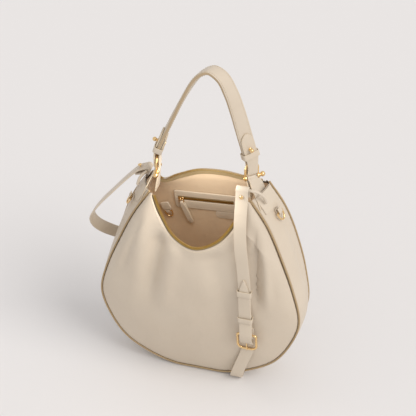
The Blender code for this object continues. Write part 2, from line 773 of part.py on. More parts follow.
# ---------------------------------------------------------------- inner pocket
POCKET = Vector((-0.0115, 0.0518, 0.2995))      # middle of the pocket's leather trim
POCKET_ALONG = Vector((1.0, 0.0, 0.0655)).normalized()
POCKET_UP = Vector((0.0, -0.175, 1.0))
POCKET_UP = (POCKET_UP - POCKET_ALONG * POCKET_UP.dot(POCKET_ALONG)).normalized()
POCKET_OUT = POCKET_ALONG.cross(POCKET_UP)      # towards the inside of the bag
TRIM_HALF = 0.0545
SLOT_HALF = 0.0490
SLOT_LOW, SLOT_HIGH = -0.0020, 0.0072
TRIM_LOW, TRIM_HIGH = -0.0197, 0.0193


def pocket_spot(along, up, out=0.0):
    return POCKET + POCKET_ALONG * along + POCKET_UP * up + POCKET_OUT * out


def plate(name, corners, spot, low, high, finish):
    """A flat plate: corners are (along, up) pairs, low and high its two faces."""
    bm = bmesh.new()
    add_rings(bm, [[spot(a, u, low) for a, u in corners],
                   [spot(a, u, high) for a, u in corners]])
    return make_object(name, bm, finish)


def round_rect(left, right, low, high, radius, steps=3):
    points = []
    for x, y, start in ((right - radius, high - radius, 0), (left + radius, high - radius, 90),
                        (left + radius, low + radius, 180), (right - radius, low + radius, 270)):
        for k in range(steps + 1):
            angle = radians(start + 90 * k / steps)
            points.append((x + radius * cos(angle), y + radius * sin(angle)))
    return points


def build_pocket():
    trim = plate("pocket_trim", round_rect(-TRIM_HALF, TRIM_HALF, TRIM_LOW, TRIM_HIGH, 0.003),
                 pocket_spot, 0.0, 0.0014, leather())
    slot = plate("slot_cutter", round_rect(-SLOT_HALF, SLOT_HALF, SLOT_LOW, SLOT_HIGH, 0.0015),
                 pocket_spot, -0.005, 0.005, leather())
    slot.hide_render = True
    slot.display_type = "WIRE"
    bore(trim, slot)
    middle = (SLOT_LOW + SLOT_HIGH) / 2
    inset = SLOT_HALF - 0.0006
    plate("pocket_zip_tape", round_rect(-inset, inset, SLOT_LOW + 0.0004, SLOT_HIGH - 0.0004,
                                        0.0010), pocket_spot, -0.0001, 0.0004, zip_cloth())
    plate("pocket_zip_teeth", round_rect(-inset + 0.001, inset - 0.001, middle - 0.0018,
                                         middle + 0.0018, 0.0005),
          pocket_spot, 0.0007, 0.0019, zip_metal())
    # slider: a channel over the chain, with a small bridge for the pull
    start = -SLOT_HALF + 0.0062
    section = [(-0.0032, 0.0010), (-0.0022, 0.0010), (-0.0022, 0.0023), (0.0022, 0.0023),
               (0.0022, 0.0010), (0.0032, 0.0010), (0.0032, 0.0032), (-0.0032, 0.0032)]
    rings = [[pocket_spot(start + a, middle + u * w, o) for u, o in section]
             for a, w in ((-0.0045, 0.85), (0.0045, 1.0))]
    bm = bmesh.new()
    add_rings(bm, rings)
    slider = make_object("pocket_slider", bm, gold(), origin=pocket_spot(start, middle, 0.003))
    bm = bmesh.new()
    arch = [pocket_spot(start, middle - 0.0024, 0.0028)]
    for k in range(7):
        angle = pi * k / 6
        arch.append(pocket_spot(start, middle - 0.0024 * cos(angle),
                                0.0032 + 0.0034 * sin(angle)))
    arch.append(pocket_spot(start, middle + 0.0024, 0.0028))
    add_sweep(bm, arch, [POCKET_ALONG] * len(arch), circle(0.0007, 6))
    bridge = make_object("slider_bridge", bm, gold())
    bridge.hide_render = True
    bridge.display_type = "WIRE"
    join = slider.modifiers.new("bridge", "BOOLEAN")
    join.operation = "UNION"
    join.solver = "EXACT"
    join.object = bridge
    # pull: a wire link through the bridge, and a folded leather tab below it
    hinge = pocket_spot(start, middle, 0.0050)
    down = (POCKET_ALONG * 0.26 - POCKET_UP).normalized()
    side = down.cross(POCKET_OUT)
    corners = [hinge + side * x + down * d
               for x, d in ((-0.0036, 0.0), (0.0036, 0.0), (0.0046, 0.0062), (-0.0046, 0.0062))]
    path = []
    for k in range(4):
        first, second = corners[k], corners[(k + 1) % 4]
        path += [first.lerp(second, 0.15), first.lerp(second, 0.85)]
    bm = bmesh.new()
    add_sweep(bm, path, [POCKET_OUT] * len(path), circle(0.0007, 6), looped=True)
    make_object("pocket_pull", bm, gold(), origin=hinge)
    top = hinge + down * 0.0062
    path = [top + down * 0.047 + POCKET_OUT * 0.0012, top + down * 0.004 + POCKET_OUT * 0.0021]
    for k in range(7):
        angle = pi * k / 6
        path.append(top + POCKET_OUT * (0.0019 * cos(angle)) - down * (0.0019 * sin(angle)))
    path += [top + down * 0.004 - POCKET_OUT * 0.0021,
             top + down * 0.044 - POCKET_OUT * 0.0012]
    bm = bmesh.new()
    add_sweep(bm, path, [side] * len(path), flat_bar(0.0092, 0.0016),
              scales=[0.55, 1.0] + [0.56] * 7 + [1.0, 0.8])
    make_object("pocket_pull_tab", bm, leather(), origin=hinge)
    plate("label_patch", round_rect(0.0140, 0.0560, -0.0365, -0.0203, 0.006),
          pocket_spot, -0.0006, 0.0008, leather())
    pocket_bag()


def pocket_bag():
    """Cloth pouch of the inner pocket, flat between the back leather and the lining."""
    grid = []
    for k in range(7, 16):
        share = share_at(k)
        low, high = rise_limits(share, back_seam, BACK_MOUTH)
        grid.append([inset_point(back_point, share, low + (high - low) * j / RISES,
                                 LEATHER + GAP, BACK_SIDE) for j in range(2, RISES)])
    return sheet_solid("pocket_bag", grid, 0.0007, lining_cloth(), flip=True)


# ---------------------------------------------------------------- rings and tabs
def add_d_ring(bm, bar, along, down, half, depth, wire):
    """A D-ring: a straight bar through the tab and a round bow below it."""
    path = []
    for k in range(14):
        angle = pi * k / 13
        path.append(bar + along * (half * cos(angle)) + down * (depth * sin(angle)))
    for k in range(1, 4):
        path.append(bar + along * (half * (-1 + 2 * k / 4)))
    out = along.cross(down)
    add_sweep(bm, path, [out] * len(path), circle(wire, 7), looped=True)


def key_holder():
    """Square stitched tab on the lining with a D-ring for keys."""
    spot = surface_at(back_point, -0.083, 0.2755, LINING_INSET + LINING_THICK, BACK_SIDE)
    up = POCKET_UP
    out = POCKET_OUT
    down = (POCKET_ALONG * 0.30 - up).normalized()
    across = out.cross(down)
    spot = spot + out * 0.0036

    def place(a, u, o):
        return spot + across * a - down * u + out * o

    plate("key_tab", round_rect(-0.0078, 0.0078, -0.0072, 0.0085, 0.0015), place,
          0.0, 0.0026, leather())
    bar = spot + down * 0.0118 + out * 0.0016
    bm = bmesh.new()
    path = [bar + out * 0.0024 - down * 0.0036]
    for k in range(7):
        angle = pi * k / 6
        path.append(bar + out * (0.0024 * cos(angle)) + down * (0.0024 * sin(angle)))
    path.append(bar - out * 0.0024 - down * 0.0036)
    add_sweep(bm, path, [across] * len(path), flat_bar(0.0070, 0.0010))
    make_object("key_ring_loop", bm, leather())
    bm = bmesh.new()
    add_d_ring(bm, bar, across, down, 0.0066, 0.0120, 0.0012)
    make_object("key_ring", bm, gold(), origin=bar)


# ---------------------------------------------------------------- main zip slider
def main_slider():
    """Slider parked at the right end of the back chain; its wire pull hangs inside."""
    share = 0.935
    mouth = curve_through(BACK_MOUTH, share)
    along = (curve_through(BACK_MOUTH, share + 0.01)
             - curve_through(BACK_MOUTH, share - 0.01)).normalized()
    down = back_seam(share) - mouth
    down = (down - along * down.dot(along)).normalized()
    out = along.cross(down)
    if out.y > 0:
        out = -out
    spot = lean(mouth)
    section = [(-0.0034, 0.0009), (-0.0026, 0.0009), (-0.0026, 0.0015), (0.0026, 0.0015),
               (0.0026, 0.0009), (0.0034, 0.0009), (0.0034, 0.0025), (-0.0034, 0.0025)]
    bm = bmesh.new()
    add_rings(bm, [[spot + along * a + down * d + out * o for d, o in section]
                   for a in (-0.0045, 0.0045)])
    make_object("main_zip_slider", bm, gold())
    hinge = spot + out * 0.0050
    bm = bmesh.new()
    add_d_ring(bm, hinge, along, (down * 0.85 + out * 0.52).normalized(), 0.0030, 0.0135, 0.0008)
    make_object("main_zip_pull", bm, gold(), origin=hinge)


# ---------------------------------------------------------------- crossbody strap
def strap_anchor(name, points):
    """Rolled leather bar, sewn in under the gusset patch, that holds the strap's end."""
    path = sampled(points, 9)
    bm = bmesh.new()
    add_sweep(bm, path, [Vector((0.3, 0.5, 0.8))] * len(path), circle(BAR_RADIUS, 7))
    return make_object(name, bm, leather())


def fold_points(centre, radius, first_way, second_way, start, end, steps=8):
    """Points round a bar, from one angle to another, in the plane of the two ways."""
    points = []
    for k in range(steps + 1):
        angle = radians(start + (end - start) * k / steps)
        points.append(centre + first_way * (radius * cos(angle))
                      + second_way * (radius * sin(angle)))
    return points


def ribbon(name, path, sides, scales=None):
    bm = bmesh.new()
    add_sweep(bm, path, sides, flat_bar(STRAP_WIDTH, STRAP_THICK), scales=scales)
    return make_object(name, bm, leather())


def short_strap():
    """Right-hand strap: folded over its bar at the top and over the buckle below."""
    bar = Vector(RIGHT_BAR)
    back, up = Vector((0, 1, 0)), Vector((0, 0, 1))
    tail = [bar + Vector((0.0, FOLD, -0.0155)), bar + Vector((0.0, FOLD, -0.0080))]
    top = fold_points(bar, FOLD, back, up, 0, 180)
    low = Vector(BUCKLE_BAR)
    bottom = fold_points(low, BUCKLE_FOLD, -back, -up, -8, 180)
    end = [low + Vector((0, BUCKLE_FOLD, 0.0075)), low + Vector((0, BUCKLE_FOLD - 0.0002, 0.0135))]
    middle = sampled([top[-1]] + list(SHORT_ROUTE) + [bottom[0]], 26)[1:-1]
    path = tail + top + middle + bottom + end
    made = ribbon("crossbody_short_strap", path, [Vector((1, 0, 0))] * len(path))
    slot = cutter_box("prong_slot", low, (0.0046, 0.030, 0.020))
    bore(made, slot)
    return made


def cutter_box(name, centre, size):
    bm = bmesh.new()
    bmesh.ops.create_cube(bm, size=1.0)
    for vert in bm.verts:
        vert.co = Vector(centre) + Vector([vert.co[k] * size[k] for k in range(3)])
    made = make_object(name, bm, gold())
    made.hide_render = True
    made.display_type = "WIRE"
    return made


def long_strap():
    """Left-hand strap, which ends in a pointed tip held by the two keepers."""
    bar = Vector(LEFT_BAR)
    inward, up = Vector((1, 0, 0)), Vector((0, 0, 1))
    top = fold_points(bar, FOLD, inward, up, -112, 105)
    tail = [top[0] + Vector((-0.0180, 0, -0.0060)), top[0] + Vector((-0.0060, 0, -0.0022))]
    ways = [Vector(w) for w in LONG_WIDTH_WAYS]
    ways += [Vector((1, 0, 0))] * (len(LONG_ROUTE) - len(ways))
    count = 60
    route = [top[-1]] + list(LONG_ROUTE)
    path = sampled(route, count)
    nearest = [min(range(len(LONG_ROUTE)),
                   key=lambda k: (Vector(LONG_ROUTE[k]) - p).length) for p in path]
    sides = []
    for point, k in zip(path, nearest):
        other = min((j for j in (k - 1, k + 1) if 0 <= j < len(LONG_ROUTE)),
                    key=lambda j: (Vector(LONG_ROUTE[j]) - point).length)
        near = (Vector(LONG_ROUTE[k]) - point).length
        far = (Vector(LONG_ROUTE[other]) - point).length
        share = near / (near + far)
        sides.append(ways[k].normalized().lerp(ways[other].normalized(), share))
    scales = [1.0] * (count - 3) + [0.96, 0.72, 0.12]
    path = tail + top[:-1] + path
    sides = [Vector((0, 1, 0))] * (len(tail) + len(top) - 1) + sides
    scales = [1.0] * (len(tail) + len(top) - 1) + scales
    made = ribbon("crossbody_long_strap", path, sides, scales)
    slot = cutter_box("prong_hole", (0.0932, -0.0690, 0.1120), (0.0046, 0.030, 0.0200))
    bore(made, slot)
    return made


def buckle():
    top, toe = Vector(BUCKLE_BAR), Vector(BUCKLE_TOE)
    run = (toe - top).normalized()
    across = Vector((1, 0, 0))
    across = (across - run * across.dot(run)).normalized()
    out = across.cross(run)
    length = (toe - top).length
    path = []
    for k in range(1, 4):
        path.append(top + across * (BUCKLE_HALF * (-1 + k / 2)))
    for end in (1, -1):
        sign = end
        if end == 1:
            path += [top + across * BUCKLE_HALF + run * 0.001,
                     top + across * BUCKLE_HALF + run * (length - 0.009)]
        corner = top + run * (length - 0.009) + across * (end * (BUCKLE_HALF - 0.009))
        angles = range(1, 6)
        spots = [corner + across * (end * 0.009 * cos(pi / 2 * k / 6))
                 + run * (0.009 * sin(pi / 2 * k / 6)) for k in angles]
        path += spots if end == 1 else list(reversed(spots))
        if end == 1:
            path += [corner + run * 0.009]
        if end == -1:
            path += [top - across * BUCKLE_HALF + run * (length - 0.009),
                     top - across * BUCKLE_HALF + run * 0.001]
    bm = bmesh.new()
    add_sweep(bm, path, [out] * len(path), circle(BUCKLE_WIRE, 8), looped=True)
    make_object("buckle_frame", bm, gold())
    # prong: a rod from a ring round the bar to the frame's toe
    front = Vector((0, -1, 0))
    tip = toe + front * (BUCKLE_WIRE + 0.0013 + GAP) + run * 0.0008
    bm = bmesh.new()
    ring = fold_points(top, BUCKLE_WIRE + GAP + 0.0011, front, Vector((0, 0, 1)), -35, 265, 12)
    path = [tip, tip - run * 0.006, ring[0] + run * 0.012] + ring
    add_sweep(bm, path, [across] * len(path), circle(0.0011, 7))
    make_object("buckle_prong", bm, gold(), origin=top)


def strap_keeper(name, z, width, slack):
    """Leather band round both layers of the strap."""
    inner = curve_at_height(SHORT_ROUTE, z)
    outer = curve_at_height(LONG_ROUTE[24:], z)
    middle = inner.lerp(outer, 0.5)
    half_w = STRAP_WIDTH / 2 + 0.0016
    half_t = abs(outer.y - inner.y) / 2 + STRAP_THICK / 2 + slack
    path = []
    for k in range(16):
        angle = 2 * pi * k / 16
        c, s = cos(angle), sin(angle)
        path.append(middle + Vector((half_w * abs(c) ** 0.3 * (1 if c >= 0 else -1),
                                     half_t * abs(s) ** 0.3 * (1 if s >= 0 else -1), 0)))
    run = Vector((0, 0, 1))
    bm = bmesh.new()
    add_sweep(bm, path, [run] * len(path),
              [(-width / 2, -0.0006), (width / 2, -0.0006), (width / 2, 0.0006),
               (-width / 2, 0.0006)], looped=True)
    return make_object(name, bm, leather())


def curve_at_height(route, z):
    """The point of a downward or upward route at height z."""
    for first, second in zip(route, route[1:]):
        low, high = min(first[2], second[2]), max(first[2], second[2])
        if low <= z <= high:
            share = (z - first[2]) / (second[2] - first[2])
            return Vector(first).lerp(Vector(second), share)
    return Vector(route[-1])


def strap_rivet(name, spot, axis, half):
    """Cap rivet through the strap's folded end."""
    profile = [(0.0001, -half - 0.0014), (0.0028, -half - 0.0009), (0.0032, -half - 0.0003),
               (0.0032, -half), (0.0012, -half), (0.0012, half), (0.0034, half),
               (0.0034, half + 0.0004), (0.0026, half + 0.0013), (0.0001, half + 0.0018)]
    bm = bmesh.new()
    add_turned(bm, profile, spot, axis, 12)
    return make_object(name, bm, gold())


def build_crossbody():
    strap_anchor("strap_anchor_right", [(0.1072, -0.0150, 0.3640), (0.1042, -0.0190, 0.3770),
                                        (0.0970, -0.0260, 0.3890), (0.0860, -0.0300, 0.3942),
                                        (0.0590, -0.0305, 0.3945)])
    strap_anchor("strap_anchor_left", [(-0.1130, -0.0040, 0.3510), (-0.1092, -0.0020, 0.3640),
                                       (-0.1045, 0.0030, 0.3700), (-0.1010, 0.0100, 0.3715),
                                       (-0.1010, 0.0340, 0.3715)])
    right = short_strap()
    left = long_strap()
    spot = Vector(RIGHT_BAR) + Vector((0, -0.0006, -0.0102))
    strap_rivet("strap_rivet_right", spot, (0, -1, 0), 0.0071)
    bore(right, post_cutter("right_rivet_bore", spot, (0, -1, 0), 0.0016, 0.03))
    spot = Vector(LEFT_BAR) + Vector((-0.0125, 0, -0.0029))
    strap_rivet("strap_rivet_left", spot, (-0.28, 0, 1), 0.0072)
    bore(left, post_cutter("left_rivet_bore", spot, (-0.28, 0, 1), 0.0016, 0.03))
    buckle()
    strap_keeper("strap_keeper_upper", 0.2180, 0.0110, 0.0013)
    strap_keeper("strap_keeper_lower", 0.1640, 0.0095, 0.0021)


# ---------------------------------------------------------------- main
def main():
    clear_scene()
    build_body()
    for side in (-1, 1):
        gusset_patch(side)
        side_ring(side)
    build_pocket()
    key_holder()
    main_slider()
    build_handle()
    build_crossbody()


main()
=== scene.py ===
# %% [markdown]
# # A soft leather hobo bag
# This lesson dresses the bag's CAD frame: grained leather with its slouch, piping, stitching,
# a lined mouth with an open zip, plated shackles and a flat strap with a buckle.
# Units are metres, +Z is up and -Y is the bag's front.

from math import cos, exp, pi, radians, sin, sqrt

import bpy
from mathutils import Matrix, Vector, noise


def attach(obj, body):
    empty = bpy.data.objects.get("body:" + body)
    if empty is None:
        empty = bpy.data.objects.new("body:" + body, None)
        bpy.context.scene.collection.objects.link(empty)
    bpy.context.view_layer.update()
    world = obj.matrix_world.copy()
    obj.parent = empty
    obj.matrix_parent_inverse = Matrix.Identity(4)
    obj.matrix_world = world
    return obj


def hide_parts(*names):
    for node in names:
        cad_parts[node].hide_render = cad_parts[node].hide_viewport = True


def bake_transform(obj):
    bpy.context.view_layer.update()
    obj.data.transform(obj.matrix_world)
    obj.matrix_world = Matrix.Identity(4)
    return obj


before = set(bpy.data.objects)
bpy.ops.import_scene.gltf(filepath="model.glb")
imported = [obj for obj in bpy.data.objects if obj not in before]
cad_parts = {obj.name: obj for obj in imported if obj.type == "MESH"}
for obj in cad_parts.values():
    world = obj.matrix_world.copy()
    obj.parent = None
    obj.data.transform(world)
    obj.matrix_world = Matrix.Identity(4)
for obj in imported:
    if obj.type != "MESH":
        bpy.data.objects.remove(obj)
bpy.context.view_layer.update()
print("frame loaded:", len(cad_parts), "nodes")

# %% [markdown]
# The camera looks down on the bag from the front right. It is set first, so that every
# later step can be judged in the same view.

# %% Camera
LOOK_AT = Vector((0.00627, 0.0, 0.3248))
AZIMUTH, ELEVATION, DISTANCE = radians(15.5), radians(36.0), 2.2
camera = bpy.data.objects.new("camera", bpy.data.cameras.new("camera"))
bpy.context.collection.objects.link(camera)
camera.data.lens = 116.5
camera.data.sensor_width = 36.0
toward = Vector((sin(AZIMUTH) * cos(ELEVATION), -cos(AZIMUTH) * cos(ELEVATION),
                 sin(ELEVATION)))
camera.location = LOOK_AT + toward * DISTANCE
camera.rotation_euler = toward.to_track_quat("Z", "Y").to_euler()
bpy.context.scene.camera = camera
print("camera", [round(v, 3) for v in camera.location])

# %% [markdown]
# ## Materials
# Colours are sRGB hex values turned linear by one function, and one small helper adds a
# shader node. Pattern scales come from real sizes: leather grain cells are about 1 mm.

# %% Shader helpers


def shade(code):
    """sRGB hex to linear RGBA."""
    parts = [int(code[k:k + 2], 16) / 255 for k in (0, 2, 4)]
    return (*[v / 12.92 if v <= 0.04045 else ((v + 0.055) / 1.055) ** 2.4 for v in parts], 1.0)


def add_node(tree, kind, values=None, links=None):
    """A node with its settings and inputs set, and its inputs linked."""
    made = tree.nodes.new(kind)
    for key, value in (values or {}).items():
        if isinstance(key, int) or key in made.inputs:
            made.inputs[key].default_value = value
        else:
            setattr(made, key, value)
    for key, source in (links or {}).items():
        tree.links.new(source, made.inputs[key])
    return made


def new_material(name, colour, roughness, metallic=0.0):
    made = bpy.data.materials.new(name)
    made.use_nodes = True
    shader = made.node_tree.nodes["Principled BSDF"]
    shader.inputs["Base Color"].default_value = shade(colour)
    shader.inputs["Roughness"].default_value = roughness
    shader.inputs["Metallic"].default_value = metallic
    return made, made.node_tree, shader


def mottle(tree, shader, place, low, high, scale):
    """Slow colour change across a surface."""
    cloud = add_node(tree, "ShaderNodeTexNoise", {"Scale": scale, "Detail": 3.0},
                     {"Vector": place})
    mix = add_node(tree, "ShaderNodeMix", {"data_type": "RGBA", 6: shade(low), 7: shade(high)},
                   {0: cloud.outputs["Fac"]})
    tree.links.new(mix.outputs[2], shader.inputs["Base Color"])
    return mix


def bumps(tree, shader, layers):
    """Stacks height sources, each (socket, strength, metres), into the shader's normal."""
    last = None
    for socket, strength, distance in layers:
        links = {"Height": socket}
        if last:
            links["Normal"] = last.outputs["Normal"]
        last = add_node(tree, "ShaderNodeBump", {"Strength": strength, "Distance": distance},
                        links)
    tree.links.new(last.outputs["Normal"], shader.inputs["Normal"])


# %% Leather, cloth and metal


def leather_finish(name, low, high, roughness=0.5):
    """Drum-dyed cow leather: pebbled grain, soft creasing and a satin finish."""
    made, tree, shader = new_material(name, high, roughness)
    place = add_node(tree, "ShaderNodeTexCoord").outputs["Object"]
    mottle(tree, shader, place, low, high, 14.0)
    cells = add_node(tree, "ShaderNodeTexVoronoi",
                     {"feature": "DISTANCE_TO_EDGE", "Scale": 820.0}, {"Vector": place})
    grain = add_node(tree, "ShaderNodeMapRange", {"From Max": 0.22}, {0: cells.outputs[0]})
    pores = add_node(tree, "ShaderNodeTexNoise", {"Scale": 1900.0, "Detail": 2.0},
                     {"Vector": place})
    creases = add_node(tree, "ShaderNodeTexNoise",
                       {"Scale": 75.0, "Detail": 5.0, "Distortion": 0.6}, {"Vector": place})
    bumps(tree, shader, [(creases.outputs["Fac"], 0.35, 0.0012),
                         (grain.outputs[0], 0.30, 0.00022), (pores.outputs["Fac"], 0.2, 0.0001)])
    wear = add_node(tree, "ShaderNodeMapRange", {"To Min": roughness - 0.06,
                                                 "To Max": roughness + 0.09},
                    {0: creases.outputs["Fac"]})
    tree.links.new(wear.outputs[0], shader.inputs["Roughness"])
    shader.inputs["Specular IOR Level"].default_value = 0.5
    shader.inputs["Coat Weight"].default_value = 0.12
    shader.inputs["Coat Roughness"].default_value = 0.35
    return made


def cloth_finish(name, low, high, pitch, depth):
    """Plain weave: two crossed sets of yarns, pitch metres apart."""
    made, tree, shader = new_material(name, high, 0.9)
    place = add_node(tree, "ShaderNodeTexCoord").outputs["Object"]
    mottle(tree, shader, place, low, high, 60.0)
    rows = []
    for direction in ("X", "Z"):
        rows.append(add_node(tree, "ShaderNodeTexWave",
                             {"bands_direction": direction, "Scale": 0.314 / pitch,
                              "Distortion": 1.5, "Detail": 2.0}, {"Vector": place}))
    weave = add_node(tree, "ShaderNodeMath", {"operation": "MULTIPLY"},
                     {0: rows[0].outputs["Fac"], 1: rows[1].outputs["Fac"]})
    slub = add_node(tree, "ShaderNodeTexNoise", {"Scale": 320.0, "Detail": 3.0},
                    {"Vector": place})
    bumps(tree, shader, [(weave.outputs[0], 0.5, depth), (slub.outputs["Fac"], 0.3, depth)])
    shader.inputs["Sheen Weight"].default_value = 0.25
    return made


def metal_finish(name, colour, roughness):
    """Polished plating, with faint handling marks in its gloss."""
    made, tree, shader = new_material(name, colour, roughness, 1.0)
    place = add_node(tree, "ShaderNodeTexCoord").outputs["Object"]
    smudge = add_node(tree, "ShaderNodeTexNoise", {"Scale": 260.0, "Detail": 4.0},
                      {"Vector": place})
    gloss = add_node(tree, "ShaderNodeMapRange", {"To Min": roughness * 0.7,
                                                  "To Max": roughness * 1.5},
                     {0: smudge.outputs["Fac"]})
    tree.links.new(gloss.outputs[0], shader.inputs["Roughness"])
    return made


def thread_finish(name, colour):
    """Waxed polyester thread, slightly shiny and twisted."""
    made, tree, shader = new_material(name, colour, 0.55)
    place = add_node(tree, "ShaderNodeTexCoord").outputs["Object"]
    twist = add_node(tree, "ShaderNodeTexWave", {"Scale": 900.0, "bands_direction": "DIAGONAL"},
                     {"Vector": place})
    bumps(tree, shader, [(twist.outputs["Fac"], 0.4, 0.0001)])
    return made


LEATHER = leather_finish("cream_drum_dyed_leather", "CBBCA8", "D5C8B5", 0.44)
TRIM_LEATHER = leather_finish("cream_trim_leather", "CDBEA9", "D7CAB7", 0.42)
PIPE_LEATHER = leather_finish("tan_piping_leather", "A38A64", "B59C76", 0.5)
SEAM_EDGE = leather_finish("folded_seam_edge", "B39B78", "C2AC8B", 0.5)
EDGE_PAINT = leather_finish("painted_leather_edge", "D3C1A4", "DFCFB5", 0.42)
LINING_CLOTH = cloth_finish("taupe_cotton_twill", "D9BF9E", "E3CBAA", 0.0006, 0.00020)
ZIP_CLOTH = cloth_finish("olive_zip_tape", "8E7A55", "A18C64", 0.0005, 0.00018)
ZIP_BRASS = metal_finish("antique_brass_zip", "C9A557", 0.30)
GOLD = metal_finish("light_gold_plating", "F0CE96", 0.17)
THREAD = thread_finish("cream_bonded_thread", "D9CBB2")
print("materials:", len(bpy.data.materials))

# %% [markdown]
# ## Shaping helpers
# Each piece is built at its place, so its object coordinates are real metres. A piece rides
# on its CAD body and hides the CAD nodes it refines.

# %% Mesh helpers


def finish_piece(name, verts, faces, materials, body, slot, nodes=(), indexes=None, sharp=38):
    """Makes a smooth mesh object, puts it on its body and hides the CAD nodes it replaces."""
    mesh = bpy.data.meshes.new(name)
    mesh.from_pydata([tuple(v) for v in verts], [], faces)
    for item in materials if isinstance(materials, (list, tuple)) else [materials]:
        mesh.materials.append(item)
    if indexes:
        mesh.polygons.foreach_set("material_index", indexes)
    mesh.shade_smooth()
    mesh.set_sharp_from_angle(angle=radians(sharp))
    mesh.validate()
    made = bpy.data.objects.new(name, mesh)
    bpy.context.collection.objects.link(made)
    if body:
        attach(made, body)
    if nodes:
        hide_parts(*nodes)
    return made


def grid_piece(name, grid, *args, flip=False, **more):
    """A sheet through a grid of points."""
    wide = len(grid[0])
    verts = [p for row in grid for p in row]
    faces = []
    for i in range(len(grid) - 1):
        for j in range(wide - 1):
            k = i * wide + j
            quad = (k, k + 1, k + 1 + wide, k + wide)
            faces.append(tuple(reversed(quad)) if flip else quad)
    return finish_piece(name, verts, faces, *args, **more)


def frames_along(path, sides, looped=False):
    """(centre, along, across, out) at each point of a path."""
    found, count = [], len(path)
    for k, centre in enumerate(path):
        before = path[(k - 1) % count] if looped or k > 0 else path[k]
        after = path[(k + 1) % count] if looped or k < count - 1 else path[k]
        along = (after - before).normalized()
        side = sides[k] if isinstance(sides, list) else sides
        across = (side - along * side.dot(along)).normalized()
        found.append((centre, along, across, across.cross(along)))
    return found


def skin(rings, looped):
    """Vertices and faces of a tube through equal rings, with its ends closed."""
    wide = len(rings[0])
    verts = [p for ring in rings for p in ring]
    faces = []
    for i in range(len(rings) if looped else len(rings) - 1):
        low, high = i * wide, ((i + 1) % len(rings)) * wide
        for k in range(wide):
            after = (k + 1) % wide
            faces.append((low + k, low + after, high + after, high + k))
    if not looped:
        faces.append(tuple(reversed(range(wide))))
        faces.append(tuple(range((len(rings) - 1) * wide, len(rings) * wide)))
    return verts, faces


def lofted(name, rings, *args, looped=False, **more):
    """A closed piece through equal rings."""
    verts, faces = skin(rings, looped)
    return finish_piece(name, verts, faces, *args, **more)


def fold_points(centre, radius, first_way, second_way, start, end, steps=8):
    """Points round a bar, from one angle to another, in the plane of the two ways."""
    points = []
    for k in range(steps + 1):
        angle = radians(start + (end - start) * k / steps)
        points.append(centre + first_way * (radius * cos(angle))
                      + second_way * (radius * sin(angle)))
    return points


def length_of(points):
    return sum((b - a).length for a, b in zip(points, points[1:]))


def sweep(name, frames, section, *args, looped=False, scales=None, painted=None, **more):
    """Skins a section of (across, out) pairs along frames. Faces past painted take slot 1."""
    rings = []
    for k, (centre, _, across, out) in enumerate(frames):
        wide = scales[k] if scales else 1.0
        rings.append([centre + across * (a * wide) + out * o for a, o in section])
    verts, faces = skin(rings, looped)
    indexes = None
    if painted:
        edge = [abs(a) >= painted for a, _ in section]
        indexes = []
        for face in faces:
            marks = [edge[v % len(section)] for v in face]
            indexes.append(1 if all(marks) or len(face) > 4 else 0)
    return finish_piece(name, verts, faces, *args, indexes=indexes, **more)


def turned(name, profile, centre, axis, *args, count=36, **more):
    """Turns a profile of (radius, height) pairs round an axis."""
    turn = Vector((0, 0, 1)).rotation_difference(Vector(axis).normalized()).to_matrix()
    rings = []
    for radius, height in profile:
        rings.append([Vector(centre) + turn @ Vector((radius * cos(2 * pi * k / count),
                                                      radius * sin(2 * pi * k / count), height))
                      for k in range(count)])
    return lofted(name, rings, *args, **more)


def band(width, thick, soft=0.0004, steps=3):
    """A strap's section with rounded edges, as (across, out) pairs."""
    points = []
    for x, y, start in ((1, 1, 0), (-1, 1, 90), (-1, -1, 180), (1, -1, 270)):
        for k in range(steps + 1):
            angle = radians(start + 90 * k / steps)
            points.append((x * (width / 2 - soft) + soft * cos(angle),
                           y * (thick / 2 - soft) + soft * sin(angle)))
    return points


def even(points, step):
    """Points and unit directions spaced evenly along a line, each step metres apart."""
    marks = [0.0]
    for first, second in zip(points, points[1:]):
        marks.append(marks[-1] + (second - first).length)
    count = max(2, int(marks[-1] / step))
    found, k = [], 0
    for n in range(count):
        place = (n + 0.5) / count * marks[-1]
        while k < len(marks) - 2 and marks[k + 1] < place:
            k += 1
        share = (place - marks[k]) / max(marks[k + 1] - marks[k], 1e-9)
        found.append((points[k].lerp(points[k + 1], share), k + share,
                      (points[k + 1] - points[k]).normalized()))
    return found


def stitch_row(name, points, outs, body, pitch=0.0042, long=0.0030, thick=0.00042):
    """A row of lockstitches: one small thread capsule every pitch metres."""
    verts, faces = [], []
    for spot, place, along in even(points, pitch):
        out = outs[min(int(place), len(outs) - 1)] if isinstance(outs, list) else outs
        side = along.cross(out).normalized()
        out = side.cross(along)
        start = len(verts)
        for share, size in ((-0.5, 0.3), (-0.36, 0.9), (0.0, 1.0), (0.36, 0.9), (0.5, 0.3)):
            for k in range(6):
                angle = 2 * pi * k / 6
                dip = -0.0003 * (abs(share) * 2) ** 3
                verts.append(spot + along * (long * share) + side * (thick * size * cos(angle))
                             + out * (thick * size * 0.8 * sin(angle) + dip))
        for ring in range(4):
            for k in range(6):
                low, high = start + ring * 6, start + ring * 6 + 6
                faces.append((low + k, low + (k + 1) % 6, high + (k + 1) % 6, high + k))
        faces.append(tuple(reversed(range(start, start + 6))))
        faces.append(tuple(range(start + 24, start + 30)))
    return finish_piece(name, verts, faces, THREAD, body, "cream_leather", sharp=180)


print("helpers ready")

# %% [markdown]
# The bag's surfaces are those of its frame: a seam line and a mouth line for each panel, a
# belly between them, and a gusset across the two seams. They are sampled finely here.

